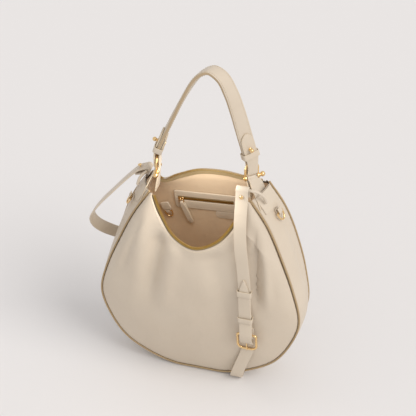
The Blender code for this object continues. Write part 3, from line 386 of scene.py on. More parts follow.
# %% Sizes shared with the frame
SEAM_Z = 0.0030             # lowest point of the panel seams
GUSSET_HALF = 0.035         # half the gusset width at the bottom
GUSSET_TOP_HALF = 0.029     # half the gusset width at its two top ends
BACK_SPREAD = 0.017         # how much wider the back seam stands at the top, each side
GUSSET_SAG = 0.0045         # how far the gusset bellies out between its seams
BASE_SAG = 0.0060           # more belly at the bottom, which the ground presses flat
FRONT_BELLY = 0.0195        # how far the front panel bellies out
BACK_BELLY = 0.0290         # how far the back panel bellies out
PIPING_RADIUS = 0.0024
SEAM_INSET = 0.0034         # panel and gusset edges stop this far from the seam line
TOP_TILT = 0.077            # rise of the bag's top to the right, per metre of X
TEETH_HALF = 0.0021         # half the width of a zip chain
LINING_INSET = 0.0042       # lining's outer side, measured in from the outer leather
HALF_OUTLINE = [
    (0.000, SEAM_Z), (0.046, 0.0044), (0.094, 0.0215), (0.135, 0.051), (0.163, 0.100),
    (0.1735, 0.146), (0.161, 0.204), (0.138, 0.266), (0.113, 0.322), (0.083, 0.370)]
FRONT_MOUTH = [
    (-0.076, -0.033, 0.369), (-0.060, -0.042, 0.334), (-0.035, -0.055, 0.301),
    (0.000, -0.062, 0.287), (0.035, -0.055, 0.299), (0.060, -0.042, 0.330),
    (0.076, -0.033, 0.369)]
BACK_MOUTH = [
    (-0.093, 0.030, 0.369), (-0.080, 0.036, 0.350), (-0.056, 0.041, 0.358),
    (-0.020, 0.044, 0.369), (0.022, 0.044, 0.370), (0.060, 0.040, 0.366),
    (0.093, 0.030, 0.369)]
GAP = 0.0003                # clearance between touching pieces

# %% Surfaces


def ramp(value, low, high):
    """0 below low, 1 above high, and smooth between."""
    share = min(1.0, max(0.0, (value - low) / (high - low)))
    return share * share * (3.0 - 2.0 * share)


def lean(point):
    """Tilts the top of the bag, so that its right side stands a little higher."""
    rise = TOP_TILT * point.x * ramp(point.z, 0.12, 0.36)
    return Vector((point.x, point.y, point.z + rise))


def curve_through(points, share):
    """The point at share (0 to 1) of a smooth curve through the points."""
    points = [Vector(p) for p in points]
    marks = [0.0]
    for first, second in zip(points, points[1:]):
        marks.append(marks[-1] + (second - first).length)
    place = min(max(share, 0.0), 1.0) * marks[-1]
    index = 0
    while index < len(points) - 2 and marks[index + 1] < place:
        index += 1

    def slope(k):
        low, high = max(k - 1, 0), min(k + 1, len(points) - 1)
        return (points[high] - points[low]) / (marks[high] - marks[low])

    span = marks[index + 1] - marks[index]
    t = (place - marks[index]) / span
    start, end = points[index], points[index + 1]
    return (start * (2 * t ** 3 - 3 * t ** 2 + 1)
            + slope(index) * span * (t ** 3 - 2 * t ** 2 + t)
            + end * (-2 * t ** 3 + 3 * t ** 2)
            + slope(index + 1) * span * (t ** 3 - t ** 2))


def sampled(points, count):
    return [curve_through(points, k / (count - 1)) for k in range(count)]


def circle(radius, count):
    return [(radius * cos(2 * pi * k / count), radius * sin(2 * pi * k / count))
            for k in range(count)]


def outline(share, spread=0.0):
    """The panel seam in the XZ plane: share 0 is the left corner, 1 the right."""
    side = -1 if share < 0.5 else 1
    reach = abs(share - 0.5) * 2
    half = curve_through([(x, 0.0, z) for x, z in HALF_OUTLINE], reach)
    wide = half.x + spread * ramp(half.z, 0.12, 0.34)
    return side * wide, max(half.z, SEAM_Z)


def front_seam(share):
    x, z = outline(share)
    depth = GUSSET_HALF + (GUSSET_TOP_HALF - GUSSET_HALF) * ramp(z, 0.2, 0.36)
    return Vector((x, -depth, z))


def back_seam(share):
    x, z = outline(share, BACK_SPREAD)
    depth = GUSSET_HALF + (GUSSET_TOP_HALF - GUSSET_HALF) * ramp(z, 0.2, 0.36)
    return Vector((x, depth, z))


def pillow(rise):
    """Belly of a panel from its seam (0) to its mouth edge (1); highest near 0.45."""
    return (1 - (1 - rise) ** 2.5) * (1 - rise ** 2) / 0.617


def panel_point(seam, mouth, belly, rise, outward):
    span = (mouth - seam).length
    push = belly * min(1.0, span / 0.12) * pillow(rise)
    point = seam.lerp(mouth, rise)
    return lean(Vector((point.x, point.y + outward * push, point.z)))


def front_point(share, rise):
    return panel_point(front_seam(share), curve_through(FRONT_MOUTH, share),
                       FRONT_BELLY, rise, -1)


def back_point(share, rise):
    return panel_point(back_seam(share), curve_through(BACK_MOUTH, share),
                       BACK_BELLY, rise, 1)


def gusset_point(share, across):
    """across 0 is the front seam and 1 the back seam."""
    front, back = front_seam(share), back_seam(share)
    step = 0.004
    along = front_seam(min(share + step, 1.0)) - front_seam(max(share - step, 0.0))
    outward = Vector((along.z, 0.0, -along.x)).normalized()
    sag = GUSSET_SAG + BASE_SAG * (1 - ramp(front.z, 0.0044, 0.0062))
    point = front.lerp(back, across) + outward * sag * sin(pi * across)
    point = lean(point)
    return Vector((point.x, point.y, max(point.z, 0.0)))


def surface_normal(surface, a, b, outward):
    """Numerical normal of a surface, on the side given by the sign of outward."""
    step = 0.003
    low_a, high_a = max(a - step, 0.0), min(a + step, 1.0)
    low_b, high_b = max(b - step, 0.0), min(b + step, 1.0)
    first = surface(high_a, b) - surface(low_a, b)
    second = surface(a, high_b) - surface(a, low_b)
    return first.cross(second).normalized() * outward


def clear_span(share, line, other):
    """Distance from one edge line to the other, square to the first."""
    along = (line(min(share + 0.01, 1.0)) - line(max(share - 0.01, 0.0))).normalized()
    reach = other(share) - line(share)
    return (reach - along * reach.dot(along)).length


def rise_limits(share, seam, mouth_points):
    """Where a panel's leather starts at the seam and ends at the zip tape."""
    def mouth(place):
        return curve_through(mouth_points, place)

    low = min(SEAM_INSET / clear_span(share, seam, mouth), 0.45)
    high = 1 - min((TEETH_HALF + 0.0030) / clear_span(share, mouth, seam), 0.25)
    return low, high


# %% [markdown]
# ## Slouch
# Empty leather slouches: the front has a deep crease beside the strap, a soft valley under
# the left mouth corner and small puckers where the piping pulls the seam tight.

# %% Folds


def along_fold(x, z, start, end):
    """Signed distance from a fold line, and 0 to 1 weight that fades at its ends."""
    way = Vector((end[0] - start[0], end[1] - start[1]))
    here = Vector((x - start[0], z - start[1]))
    share = here.dot(way) / way.length_squared
    aside = (here.x * way.y - here.y * way.x) / way.length
    return aside, ramp(share, -0.12, 0.12) * (1 - ramp(share, 0.72, 1.15))


CREASE = ((0.1010, 0.345), (0.1075, 0.185))     # beside the strap, top end first
FRONT_FOLDS = [             # a fold line's two ends, then (height, place aside, half width)
    (*CREASE, [(0.0065, -0.0150, 0.0085)]),
    ((-0.054, 0.338), (-0.081, 0.165), [(-0.0095, 0.0, 0.0130), (0.0036, -0.028, 0.0140),
                                        (0.0026, 0.028, 0.0130)]),
    ((-0.095, 0.325), (-0.128, 0.215), [(-0.0042, 0.0, 0.0080)]),
    ((0.028, 0.285), (0.072, 0.120), [(-0.0040, 0.0, 0.0190)])]
BACK_FOLDS = [
    ((0.050, 0.345), (0.105, 0.190), [(-0.0028, 0.0, 0.0160)]),
    ((-0.075, 0.335), (-0.118, 0.235), [(-0.0024, 0.0, 0.0120)])]


def waves(x, z, folds):
    """Sum of the soft ridges and valleys of a list of folds."""
    push = 0.0
    for start, end, shapes in folds:
        aside, weight = along_fold(x, z, start, end)
        push += weight * sum(high * exp(-((aside - place) / wide) ** 2)
                             for high, place, wide in shapes)
    return push


def front_fold(x, z):
    """How far the front leather stands out from its smooth shape."""
    aside, weight = along_fold(x, z, *CREASE)
    flank = 0.0175 if aside > 0 else 0.0108
    push = waves(x, z, FRONT_FOLDS)
    push -= 0.0180 * weight * exp(-sqrt(aside * aside + 4.5e-5) / flank)
    push -= 0.0040 * exp(-((x - 0.050) ** 2 + (z - 0.150) ** 2) / 0.0014)
    push += 0.0017 * noise.noise(Vector((x * 16, z * 12, 3.1)))
    return push + 0.0005 * noise.noise(Vector((x * 55, z * 38, 9.4)))


def back_fold(x, z):
    push = waves(x, z, BACK_FOLDS) + 0.0009 * noise.noise(Vector((x * 15, z * 11, 7.7)))
    return push + 0.0004 * noise.noise(Vector((x * 60, z * 40, 1.3)))


def pucker(place, distance):
    """Small gathers across a seam, place metres along it and distance metres from it."""
    wave = sin(place * 560 + 2.2 * noise.noise(Vector((place * 60, 0.2, 4.0))))
    size = 0.5 + 0.5 * noise.noise(Vector((place * 38, 5.0, 1.0)))
    return 0.00042 * wave * max(size, 0.1) * exp(-distance / 0.0065)


def closer(count):
    """Shares from 0 to 1, closer together near both ends."""
    return [0.55 * (0.5 - 0.5 * cos(pi * k / count)) + 0.45 * k / count
            for k in range(count + 1)]


def edge_drop(distance, radius, depth):
    """Rounds a turned edge down: 0 inside, depth at the very edge."""
    if distance >= radius:
        return 0.0
    return depth * (1 - sqrt(max(0.0, 1 - (1 - distance / radius) ** 2)))


# %% Front and back panels
FINE = 260                  # columns of points from the left corner to the right one


def column(k):
    """Share along the seam of one column of points."""
    return 0.004 + 0.992 * k / FINE


def panel_grid(surface, seam, mouth_points, outward, fold, depth=0.0, start=0.0013):
    """Fine points of a panel, set in by depth, with its folds and turned edges."""
    def mouth(place):
        return curve_through(mouth_points, place)

    grid, places, last = [], 0.0, None
    for k in range(FINE + 1):
        share = column(k)
        here = seam(share)
        places += (here - last).length if last else 0.0
        last = here
        from_seam = clear_span(share, seam, mouth)
        low = min(start / from_seam, 0.45)
        high = rise_limits(share, seam, mouth_points)[1]
        row = []
        for t in closer(44):
            rise = low + (high - low) * t
            spot = surface(share, rise)
            out = surface_normal(surface, share, min(max(rise, 0.01), 0.98), outward)
            at_seam, at_mouth = (rise - low) * from_seam, (high - rise) * from_seam
            ease = ramp(at_seam, 0.004, 0.030) * ramp(at_mouth, 0.002, 0.022)
            push = fold(spot.x, spot.z) * ease
            if depth:
                row.append(spot + out * (push - depth))
            else:
                push += pucker(places, at_seam) - edge_drop(at_seam, 0.0036, 0.0019)
                push -= edge_drop(at_mouth, 0.0011, 0.0013)
                row.append(spot + out * push)
        grid.append(row)
    return grid


front_grid = panel_grid(front_point, front_seam, FRONT_MOUTH, 1, front_fold)
back_grid = panel_grid(back_point, back_seam, BACK_MOUTH, -1, back_fold)
grid_piece("front_panel_leather", front_grid, LEATHER, "root", "cream_leather",
           nodes=("front_panel",))
grid_piece("back_panel_leather", back_grid, LEATHER, "root", "cream_leather", flip=True,
           nodes=("back_panel",))
print("panels:", len(front_grid) * len(front_grid[0]) * 2, "points")

# %% [markdown]
# The gusset is one band from corner to corner. It bellies out between its two seams, and
# the ground presses its lowest part flat.

# %% Gusset


def gusset_spot(share, across, lift=0.0):
    point = gusset_point(share, across)
    return point + surface_normal(gusset_point, share, min(max(across, 0.01), 0.99), -1) * lift


gusset_rows, places, last = [], 0.0, None
for k in range(FINE + 1):
    share = column(k)
    here = front_seam(share)
    places += (here - last).length if last else 0.0
    last = here
    width = (back_seam(share) - here).length
    low = 0.0013 / width
    row = []
    for t in closer(26):
        across = low + (1 - 2 * low) * t
        at_edge = min(across - low, 1 - low - across) * width
        spot = gusset_point(share, across)
        standing = ramp(spot.z, 0.010, 0.05)
        push = pucker(places, at_edge) * standing - edge_drop(at_edge, 0.0036, 0.0019)
        soft = ramp(at_edge, 0.004, 0.016) * standing
        push += soft * (0.0012 * noise.noise(Vector((spot.y * 45, spot.z * 14, spot.x * 9)))
                        - 0.0014 * exp(-((across - 0.62) * width / 0.006) ** 2)
                        * ramp(spot.z, 0.16, 0.24) * (1 - ramp(spot.z, 0.30, 0.345)))
        made = gusset_spot(share, across, push)
        row.append(Vector((made.x, made.y, max(made.z, 0.0))))
    gusset_rows.append(row)
grid_piece("gusset_leather", gusset_rows, LEATHER, "root", "cream_leather", nodes=("gusset",))

for name, seam in (("front", front_seam), ("back", back_seam)):
    path = [lean(seam(0.002 + 0.996 * k / 420)) for k in range(421)]
    sweep(name + "_piping_cord", frames_along(path, Vector((0, 1, 0))),
          circle(PIPING_RADIUS * 0.70, 14), PIPE_LEATHER, "root", "tan_edge",
          nodes=(name + "_piping",))
print("gusset and piping made")

# %% [markdown]
# The lining is one cloth pouch a few millimetres inside the leather. It follows the same
# folds, hangs with a few loose wrinkles of its own and is sewn to the zip tape at the mouth.

# %% Lining


def slack(spot, at_mouth):
    """Loose wrinkles of the lining cloth."""
    wave = noise.noise(Vector((spot.x * 34, spot.y * 20, spot.z * 16)))
    fine = noise.noise(Vector((spot.x * 90, spot.y * 60, spot.z * 42)))
    return ramp(at_mouth, 0.004, 0.04) * (0.0011 * wave + 0.0004 * fine)


pouch = []
front_in = panel_grid(front_point, front_seam, FRONT_MOUTH, 1, front_fold, LINING_INSET, 0.0045)
back_in = panel_grid(back_point, back_seam, BACK_MOUTH, -1, lambda x, z: 0.0,
                     LINING_INSET + 0.0004, 0.0045)
for k in range(3, FINE - 2):
    share = column(k)
    row = []
    for line, sign in ((list(reversed(front_in[k])), 1), (back_in[k], -1)):
        top = line[0] if sign == 1 else line[-1]
        shaped = []
        for spot in line:
            reach = (spot - top).length
            lift = (1 - ramp(reach, 0.0, 0.012)) * 0.0022
            inward = Vector((0, sign, 0))
            shaped.append(spot - inward * lift + inward * abs(slack(spot, reach)))
        row += shaped
        if sign == 1:
            for step in range(1, 8):
                row.append(gusset_spot(share, 0.12 + 0.76 * (step - 1) / 6, -LINING_INSET))
    pouch.append(row)
grid_piece("cotton_lining", pouch, LINING_CLOTH, "root", "taupe_lining", flip=True,
           nodes=("lining", "pocket_bag"), sharp=180)
print("lining:", len(pouch) * len(pouch[0]), "points")


# %% [markdown]
# ## The open zip
# Each side of the mouth carries a tape sewn to the leather's turned edge and a row of metal
# teeth about 1.7 mm apart.

# %% Zip tapes and teeth


def mouth_ways(mouth_points, seam, share):
    """One place on a zip chain, with the ways along, down and out there."""
    mouth = curve_through(mouth_points, share)
    along = (curve_through(mouth_points, share + 0.01)
             - curve_through(mouth_points, share - 0.01)).normalized()
    down = seam(share) - mouth
    down = (down - along * down.dot(along)).normalized()
    return lean(mouth), along, down, along.cross(down)


def box_at(verts, faces, centre, ways, sizes, taper=1.0):
    """Adds a small box; taper narrows its far end."""
    start = len(verts)
    for a in (-1, 1):
        for b, c in ((-1, -1), (1, -1), (1, 1), (-1, 1)):
            narrow = taper if a > 0 else 1.0
            verts.append(centre + ways[0] * (a * sizes[0] / 2)
                         + ways[1] * (b * narrow * sizes[1] / 2)
                         + ways[2] * (c * narrow * sizes[2] / 2))
    faces += [(start + 3, start + 2, start + 1, start), (start + 4, start + 5, start + 6,
                                                         start + 7)]
    for k in range(4):
        faces.append((start + k, start + (k + 1) % 4, start + 4 + (k + 1) % 4, start + 4 + k))


def zip_side(name, mouth_points, seam):
    line = [mouth_ways(mouth_points, seam, 0.02 + 0.96 * k / 150) for k in range(151)]
    verts, faces = [], []
    for spot, place, along in even([f[0] for f in line], 0.00175):
        _, _, down, out = line[min(int(place), 149)]
        box_at(verts, faces, spot - down * 0.0002, (-down, along, out),
               (0.0034, 0.00115, 0.0021), 0.72)
        box_at(verts, faces, spot + down * 0.0016, (-down, along, out),
               (0.0012, 0.00085, 0.0026))
    finish_piece("zip_teeth_" + name + "_row", verts, faces, ZIP_BRASS, "root", "gold_zip",
                 nodes=("zip_teeth_" + name,), sharp=25)
    inner = 1 if line[75][3].y > 0 else -1
    if name == "back":
        inner = -inner
    frames = [(spot + down * 0.0046 + out * (inner * 0.0008), along, down, out)
              for spot, along, down, out in line]
    sweep("zip_tape_" + name + "_cloth", frames, band(0.0078, 0.0007, 0.0003, 1), ZIP_CLOTH,
          "root", "zip_cloth", nodes=("zip_tape_" + name,))
    cord = [(spot + down * 0.0024, along, down, out) for spot, along, down, out in line]
    sweep("zip_cord_" + name, cord, circle(0.0008, 8), ZIP_CLOTH, "root", "zip_cloth")


zip_side("front", FRONT_MOUTH, front_seam)
zip_side("back", BACK_MOUTH, back_seam)

# stitching that holds the tape, 2 mm inside each turned edge
for name, grid, sign in (("front", front_grid, 1), ("back", back_grid, -1)):
    line, outs = [], []
    for k in range(8, FINE - 7):
        row = grid[k]
        far, step = 0.0, len(row) - 1
        while far < 0.0026 and step > 1:
            far += (row[step] - row[step - 1]).length
            step -= 1
        a, b = row[step + 1] - row[step], grid[k + 1][step] - grid[k - 1][step]
        out = b.cross(a).normalized()
        if out.y * sign > 0:
            out = -out
        line.append(row[step] + out * 0.0002)
        outs.append(out)
    stitch_row("mouth_stitches_" + name, line, outs, "root")
print("zip made")

# %% Main slider and its pull
SLIDER_SHARE = 0.935        # where the main slider rests, near the mouth's right corner
spot, along, down, out = mouth_ways(BACK_MOUTH, back_seam, SLIDER_SHARE)
if out.y > 0:
    out = -out
body_rings = []
for a, wide, tall in ((-0.0045, 0.70, 0.5), (-0.0041, 0.88, 0.9), (-0.0030, 1.0, 1.0),
                      (0.0025, 0.92, 1.0), (0.0041, 0.72, 0.85), (0.0045, 0.6, 0.5)):
    ring = []
    for d, o in band(0.0068, 0.0046, 0.0009, 4):
        ring.append(spot + along * a + down * (d * wide) + out * (o * tall + 0.0002))
    body_rings.append(ring)
lofted("main_slider_body", body_rings, GOLD, "root", "gold_fittings",
       nodes=("main_zip_slider",))
hinge = spot + out * 0.0050
bridge = [hinge - out * 0.0026 - along * 0.0030]
bridge += fold_points(hinge - out * 0.0018, 0.0030, -along, out, 0, 180, 12)
bridge.append(hinge - out * 0.0026 + along * 0.0030)
sweep("main_slider_bridge", frames_along(bridge, down), circle(0.0006, 10), GOLD, "root",
      "gold_fittings")


def d_line(bar, along, down, half, depth, steps=40):
    """A D-shaped loop: a bow below a straight bar with rounded corners."""
    path = []
    for k in range(steps + 1):
        angle = pi * k / steps
        path.append(bar + along * (half * cos(angle)) + down * (depth * sin(angle)))
    for k in range(1, 10):
        path.append(bar + along * (half * (-1 + 2 * k / 10)))
    return path


pull_down = (down * 0.85 + out * 0.52).normalized()
sweep("main_pull_wire", frames_along(d_line(hinge, along, pull_down, 0.0030, 0.0135),
                                     along.cross(pull_down), True),
      circle(0.0008, 12), GOLD, "main_zip_pull", "gold_fittings", looped=True,
      nodes=("main_zip_pull",))
print("main slider made")

# %% [markdown]
# ## Inner pocket, label patch and key holder
# A leather frame round a short metal zip sits on the back lining. Its slider has a wire
# link and a folded leather tab. A plain rounded patch and a square key tab sit beside it.

# %% Pocket
POCKET = Vector((-0.0115, 0.0518, 0.2995))      # middle of the pocket's leather trim
POCKET_ALONG = Vector((1.0, 0.0, 0.0655)).normalized()
POCKET_UP = Vector((0.0, -0.175, 1.0))
POCKET_UP = (POCKET_UP - POCKET_ALONG * POCKET_UP.dot(POCKET_ALONG)).normalized()
POCKET_OUT = POCKET_ALONG.cross(POCKET_UP)      # towards the inside of the bag
TRIM_HALF = 0.0545
SLOT_HALF = 0.0490
SLOT_LOW, SLOT_HIGH = -0.0020, 0.0072
TRIM_LOW, TRIM_HIGH = -0.0197, 0.0193


def pocket_spot(along, up, out=0.0):
    return POCKET + POCKET_ALONG * along + POCKET_UP * up + POCKET_OUT * out


def round_rect(left, right, low, high, radius, steps=3):
    points = []
    for x, y, start in ((right - radius, high - radius, 0), (left + radius, high - radius, 90),
                        (left + radius, low + radius, 180), (right - radius, low + radius, 270)):
        for k in range(steps + 1):
            angle = radians(start + 90 * k / steps)
            points.append((x + radius * cos(angle), y + radius * sin(angle)))
    return points


def raised_plate(name, corners, spot, low, high, soft, *args, hole=None, **more):
    """A flat plate with rounded front edges, and optionally a hole of as many corners."""
    middle = (sum(c[0] for c in corners) / len(corners),
              sum(c[1] for c in corners) / len(corners))

    def shrink(line, by, centre):
        made = []
        for a, u in line:
            way = Vector((a - centre[0], u - centre[1]))
            made.append((a - way.x / max(abs(way.x), 1e-6) * min(by, abs(way.x)),
                         u - way.y / max(abs(way.y), 1e-6) * min(by, abs(way.y))))
        return made

    rings = [[spot(a, u, low) for a, u in corners], [spot(a, u, high - soft) for a, u in corners]]
    for k in range(1, 5):
        angle = pi / 2 * k / 4
        rings.append([spot(a, u, high - soft + soft * sin(angle))
                      for a, u in shrink(corners, soft * (1 - cos(angle)), middle)])
    if hole:
        for k in range(4, 0, -1):
            angle = pi / 2 * k / 4
            rings.append([spot(a, u, high - soft + soft * sin(angle))
                          for a, u in shrink(hole, -soft * (1 - cos(angle)), middle)])
        rings.append([spot(a, u, high - soft) for a, u in hole])
        rings.append([spot(a, u, low) for a, u in hole])
    return lofted(name, rings, *args, looped=bool(hole), **more)


TRIM_EDGE = round_rect(-TRIM_HALF, TRIM_HALF, TRIM_LOW, TRIM_HIGH, 0.004, 8)
SLOT_EDGE = round_rect(-SLOT_HALF, SLOT_HALF, SLOT_LOW, SLOT_HIGH, 0.0020, 8)
raised_plate("pocket_frame_leather", TRIM_EDGE, pocket_spot, 0.0, 0.0015, 0.0006, TRIM_LEATHER,
             "root", "cream_leather", hole=SLOT_EDGE, nodes=("pocket_trim",))
middle = (SLOT_LOW + SLOT_HIGH) / 2
for inset, label, low, high, radius in ((-0.0022, "outer", TRIM_LOW, TRIM_HIGH, 0.0030),
                                        (0.0020, "slot", SLOT_LOW, SLOT_HIGH, 0.0030)):
    left = -TRIM_HALF if inset < 0 else -SLOT_HALF
    edge = round_rect(left - inset, -left + inset, low - inset, high + inset, radius, 5)
    line = [pocket_spot(a, u, 0.0015) for a, u in edge + edge[:1]]
    stitch_row("pocket_stitches_" + label, line, POCKET_OUT, "root", 0.0036, 0.0026)
inset = SLOT_HALF + 0.0008
raised_plate("pocket_zip_cloth", round_rect(-inset, inset, SLOT_LOW - 0.0006, SLOT_HIGH + 0.0006,
                                            0.0010, 4), pocket_spot, -0.0002, 0.0005, 0.0001,
             ZIP_CLOTH, "root", "zip_cloth", nodes=("pocket_zip_tape",))
verts, faces = [], []
for k in range(55):
    a = -SLOT_HALF + 0.0016 + k * 0.00175
    for side in (-1, 1):
        box_at(verts, faces, pocket_spot(a + (0.00087 if side > 0 else 0.0),
                                         middle + side * 0.0007, 0.0012),
               (POCKET_UP * -side, POCKET_ALONG, POCKET_OUT), (0.0026, 0.0010, 0.0013), 0.7)
finish_piece("pocket_teeth_row", verts, faces, ZIP_BRASS, "root", "gold_zip",
             nodes=("pocket_zip_teeth",), sharp=25)

# %% Pocket slider and pull
start = -SLOT_HALF + 0.0062
rings = []
for a, wide, tall in ((-0.0048, 0.72, 0.6), (-0.0042, 0.9, 0.95), (-0.0020, 1.0, 1.0),
                      (0.0025, 1.0, 1.0), (0.0042, 0.95, 0.95), (0.0048, 0.8, 0.6)):
    rings.append([pocket_spot(start + a, middle + u * wide, 0.0021 + o * tall)
                  for u, o in band(0.0066, 0.0024, 0.0009, 4)])
lofted("pocket_slider_body", rings, GOLD, "pocket_slider", "gold_fittings",
       nodes=("pocket_slider",))
arch = [pocket_spot(start, middle - 0.0024, 0.0028)]
for k in range(15):
    angle = pi * k / 14
    arch.append(pocket_spot(start, middle - 0.0024 * cos(angle), 0.0032 + 0.0034 * sin(angle)))
arch.append(pocket_spot(start, middle + 0.0024, 0.0028))
sweep("pocket_slider_bridge", frames_along(arch, POCKET_ALONG), circle(0.0007, 10), GOLD,
      "pocket_slider", "gold_fittings")
hinge = pocket_spot(start, middle, 0.0050)
pull_down = (POCKET_ALONG * 0.26 - POCKET_UP).normalized()
side = pull_down.cross(POCKET_OUT)
corners = [hinge + side * x + pull_down * d
           for x, d in ((-0.0036, 0.0), (0.0036, 0.0), (0.0046, 0.0062), (-0.0046, 0.0062))]
path = []
for k in range(4):
    first, second, third = corners[k], corners[(k + 1) % 4], corners[(k + 2) % 4]
    leave, arrive = first.lerp(second, 0.78), second.lerp(third, 0.16)
    path += [first.lerp(second, 0.2 + 0.145 * n) for n in range(4)]
    path += [leave.lerp(second, t).lerp(second.lerp(arrive, t), t) for t in (0.0, 0.35, 0.7, 1)]
sweep("pocket_pull_link", frames_along(path, POCKET_OUT, True), circle(0.0007, 10), GOLD,
      "pocket_pull", "gold_fittings", looped=True, nodes=("pocket_pull",))
top = hinge + pull_down * 0.0062
path = [top + pull_down * 0.0475 + POCKET_OUT * 0.0011, top + pull_down * 0.046
        + POCKET_OUT * 0.0012, top + pull_down * 0.040 + POCKET_OUT * 0.0012,
        top + pull_down * 0.020 + POCKET_OUT * 0.0014, top + pull_down * 0.005
        + POCKET_OUT * 0.0020]
path += fold_points(top, 0.0019, POCKET_OUT, -pull_down, 0, 180, 12)
path += [top + pull_down * 0.005 - POCKET_OUT * 0.0016, top + pull_down * 0.020
         - POCKET_OUT * 0.0006, top + pull_down * 0.045 - POCKET_OUT * 0.0004]
sweep("pocket_pull_leather", frames_along(path, side), band(0.0092, 0.0016, 0.0005, 4),
      [TRIM_LEATHER, EDGE_PAINT], "pocket_pull", "cream_leather",
      scales=[0.45, 0.85, 1.0, 1.0, 0.9] + [0.56] * 13 + [0.9, 1.0, 0.85], painted=0.0044,
      nodes=("pocket_pull_tab",))
for edge in (-1, 1):
    line = [top + pull_down * d + side * (edge * 0.0034) + POCKET_OUT * o
            for d, o in ((0.006, 0.0029), (0.020, 0.0024), (0.044, 0.0021))]
    stitch_row("pocket_pull_stitches_" + ("a" if edge < 0 else "b"), line, POCKET_OUT,
               "pocket_pull", 0.0032, 0.0023, 0.0003)

# %% Label patch, key tab and key ring
raised_plate("label_patch_leather", round_rect(0.0140, 0.0560, -0.0365, -0.0203, 0.0075, 10),
             pocket_spot, -0.0006, 0.0009, 0.0006, TRIM_LEATHER, "root", "cream_leather",
             nodes=("label_patch",))
edge = round_rect(0.0156, 0.0544, -0.0349, -0.0219, 0.0060, 8)
stitch_row("label_patch_stitches", [pocket_spot(a, u, 0.0009) for a, u in edge + edge[:1]],
           POCKET_OUT, "root", 0.0032, 0.0023, 0.0003)
key_down = (POCKET_ALONG * 0.30 - POCKET_UP).normalized()
key_across = POCKET_OUT.cross(key_down)
key_bar = Vector((-0.07883, 0.055003, 0.263717))
key_spot = key_bar - key_down * 0.0118 - POCKET_OUT * 0.0016


def key_place(a, u, o):
    return key_spot + key_across * a - key_down * u + POCKET_OUT * o


raised_plate("key_tab_leather", round_rect(-0.0078, 0.0078, -0.0072, 0.0085, 0.0022, 6),
             key_place, 0.0, 0.0027, 0.0007, TRIM_LEATHER, "root", "cream_leather",
             nodes=("key_tab",))
edge = round_rect(-0.0060, 0.0060, -0.0054, 0.0067, 0.0012, 3)
stitch_row("key_tab_stitches", [key_place(a, u, 0.0027) for a, u in edge + edge[:1]],
           POCKET_OUT, "root", 0.0032, 0.0023, 0.0003)
path = [key_bar + POCKET_OUT * 0.0024 - key_down * 0.0040]
path += fold_points(key_bar, 0.0024, POCKET_OUT, key_down, 0, 180, 12)
path.append(key_bar - POCKET_OUT * 0.0024 - key_down * 0.0040)
sweep("key_loop_leather", frames_along(path, key_across), band(0.0070, 0.0010), TRIM_LEATHER,
      "root", "cream_leather", nodes=("key_ring_loop",))
sweep("key_ring_wire", frames_along(d_line(key_bar, key_across, key_down, 0.0066, 0.0120),
                                    key_across.cross(key_down), True),
      circle(0.0012, 14), GOLD, "key_ring", "gold_fittings", looped=True, nodes=("key_ring",))
print("pocket and key holder made")

# %% [markdown]
# ## Gusset ends
# A stitched leather facing covers the top of each gusset. A small folded tab on it carries
# a D-ring.

# %% Gusset patches and side rings
FACING_REACH = 0.040        # how far down the gusset a facing comes, as a share of its length
FACING_INSET = 0.125        # and how far in from each seam, as a share of its width
GUSSET_RUN = 0.86           # metres of gusset for each 1.0 of share, near its ends
for side, name in ((-1, "left"), (1, "right")):
    rows = []
    for k in range(49):
        reach = 0.005 + (FACING_REACH - 0.005) * k / 48
        share = 1 - reach if side > 0 else reach
        width = (back_seam(share) - front_seam(share)).length
        row = []
        for t in closer(30):
            across = FACING_INSET + (1 - 2 * FACING_INSET) * t
            edge = min((across - FACING_INSET) * width, (1 - FACING_INSET - across) * width,
                       (FACING_REACH - reach) * GUSSET_RUN)
            row.append(gusset_spot(share, across, 0.0021 - edge_drop(edge, 0.0009, 0.0019)
                                   + 0.0003 * noise.noise(Vector((across * 6, share * 90, 2)))))
        rows.append(row)
    grid_piece("gusset_facing_" + name, rows, TRIM_LEATHER, "root", "cream_leather",
               flip=side < 0, nodes=("gusset_patch_" + name,))
    for inset, label in ((0.0022, "low"), (0.0062, "high")):
        line, outs = [], []
        for k in range(40):
            across = 0.16 + 0.68 * k / 39
            reach = FACING_REACH - inset / GUSSET_RUN
            share = 1 - reach if side > 0 else reach
            line.append(gusset_spot(share, across, 0.0022))
            outs.append(surface_normal(gusset_point, share, across, -1))
        stitch_row("gusset_facing_stitches_%s_%s" % (name, label), line, outs, "root")
    share = 0.950 if side > 0 else 0.050
    base = gusset_point(share, 0.5)
    out = surface_normal(gusset_point, share, 0.5, -1)
    back = Vector((0, 1, 0))
    back = (back - out * back.dot(out)).normalized()
    down = back.cross(out).normalized()
    if down.z > 0:
        down = -down
    bar = base + out * 0.0048
    path = [bar + out * 0.0028 - down * 0.0078, bar + out * 0.0029 - down * 0.003]
    path += fold_points(bar, 0.0028, out, down, 0, 180, 12)
    path.append(bar - out * 0.0028 - down * 0.0078)
    sweep("side_ring_leather_" + name, frames_along(path, back), band(0.0100, 0.0012),
          [TRIM_LEATHER, EDGE_PAINT], "root", "cream_leather", painted=0.0047,
          nodes=("side_ring_tab_" + name,))
    line = [bar + out * 0.0036 - down * 0.0062 + back * a for a in (-0.0038, 0.0, 0.0038)]
    stitch_row("side_ring_stitches_" + name, line, out, "root", 0.0026, 0.0020, 0.0003)
    sweep("side_ring_wire_" + name,
          frames_along(d_line(bar, back, down, 0.0078, 0.0145), out, True),
          circle(0.0014, 16), GOLD, "side_ring_" + name, "gold_fittings", looped=True,
          nodes=("side_ring_" + name,))
print("gusset ends made")


# %% [markdown]
# ## Handle
# The handle is a padded leather strap that twists as it rises from the left shackle to the
# right one. Its two leathers meet in a painted, stitched edge.

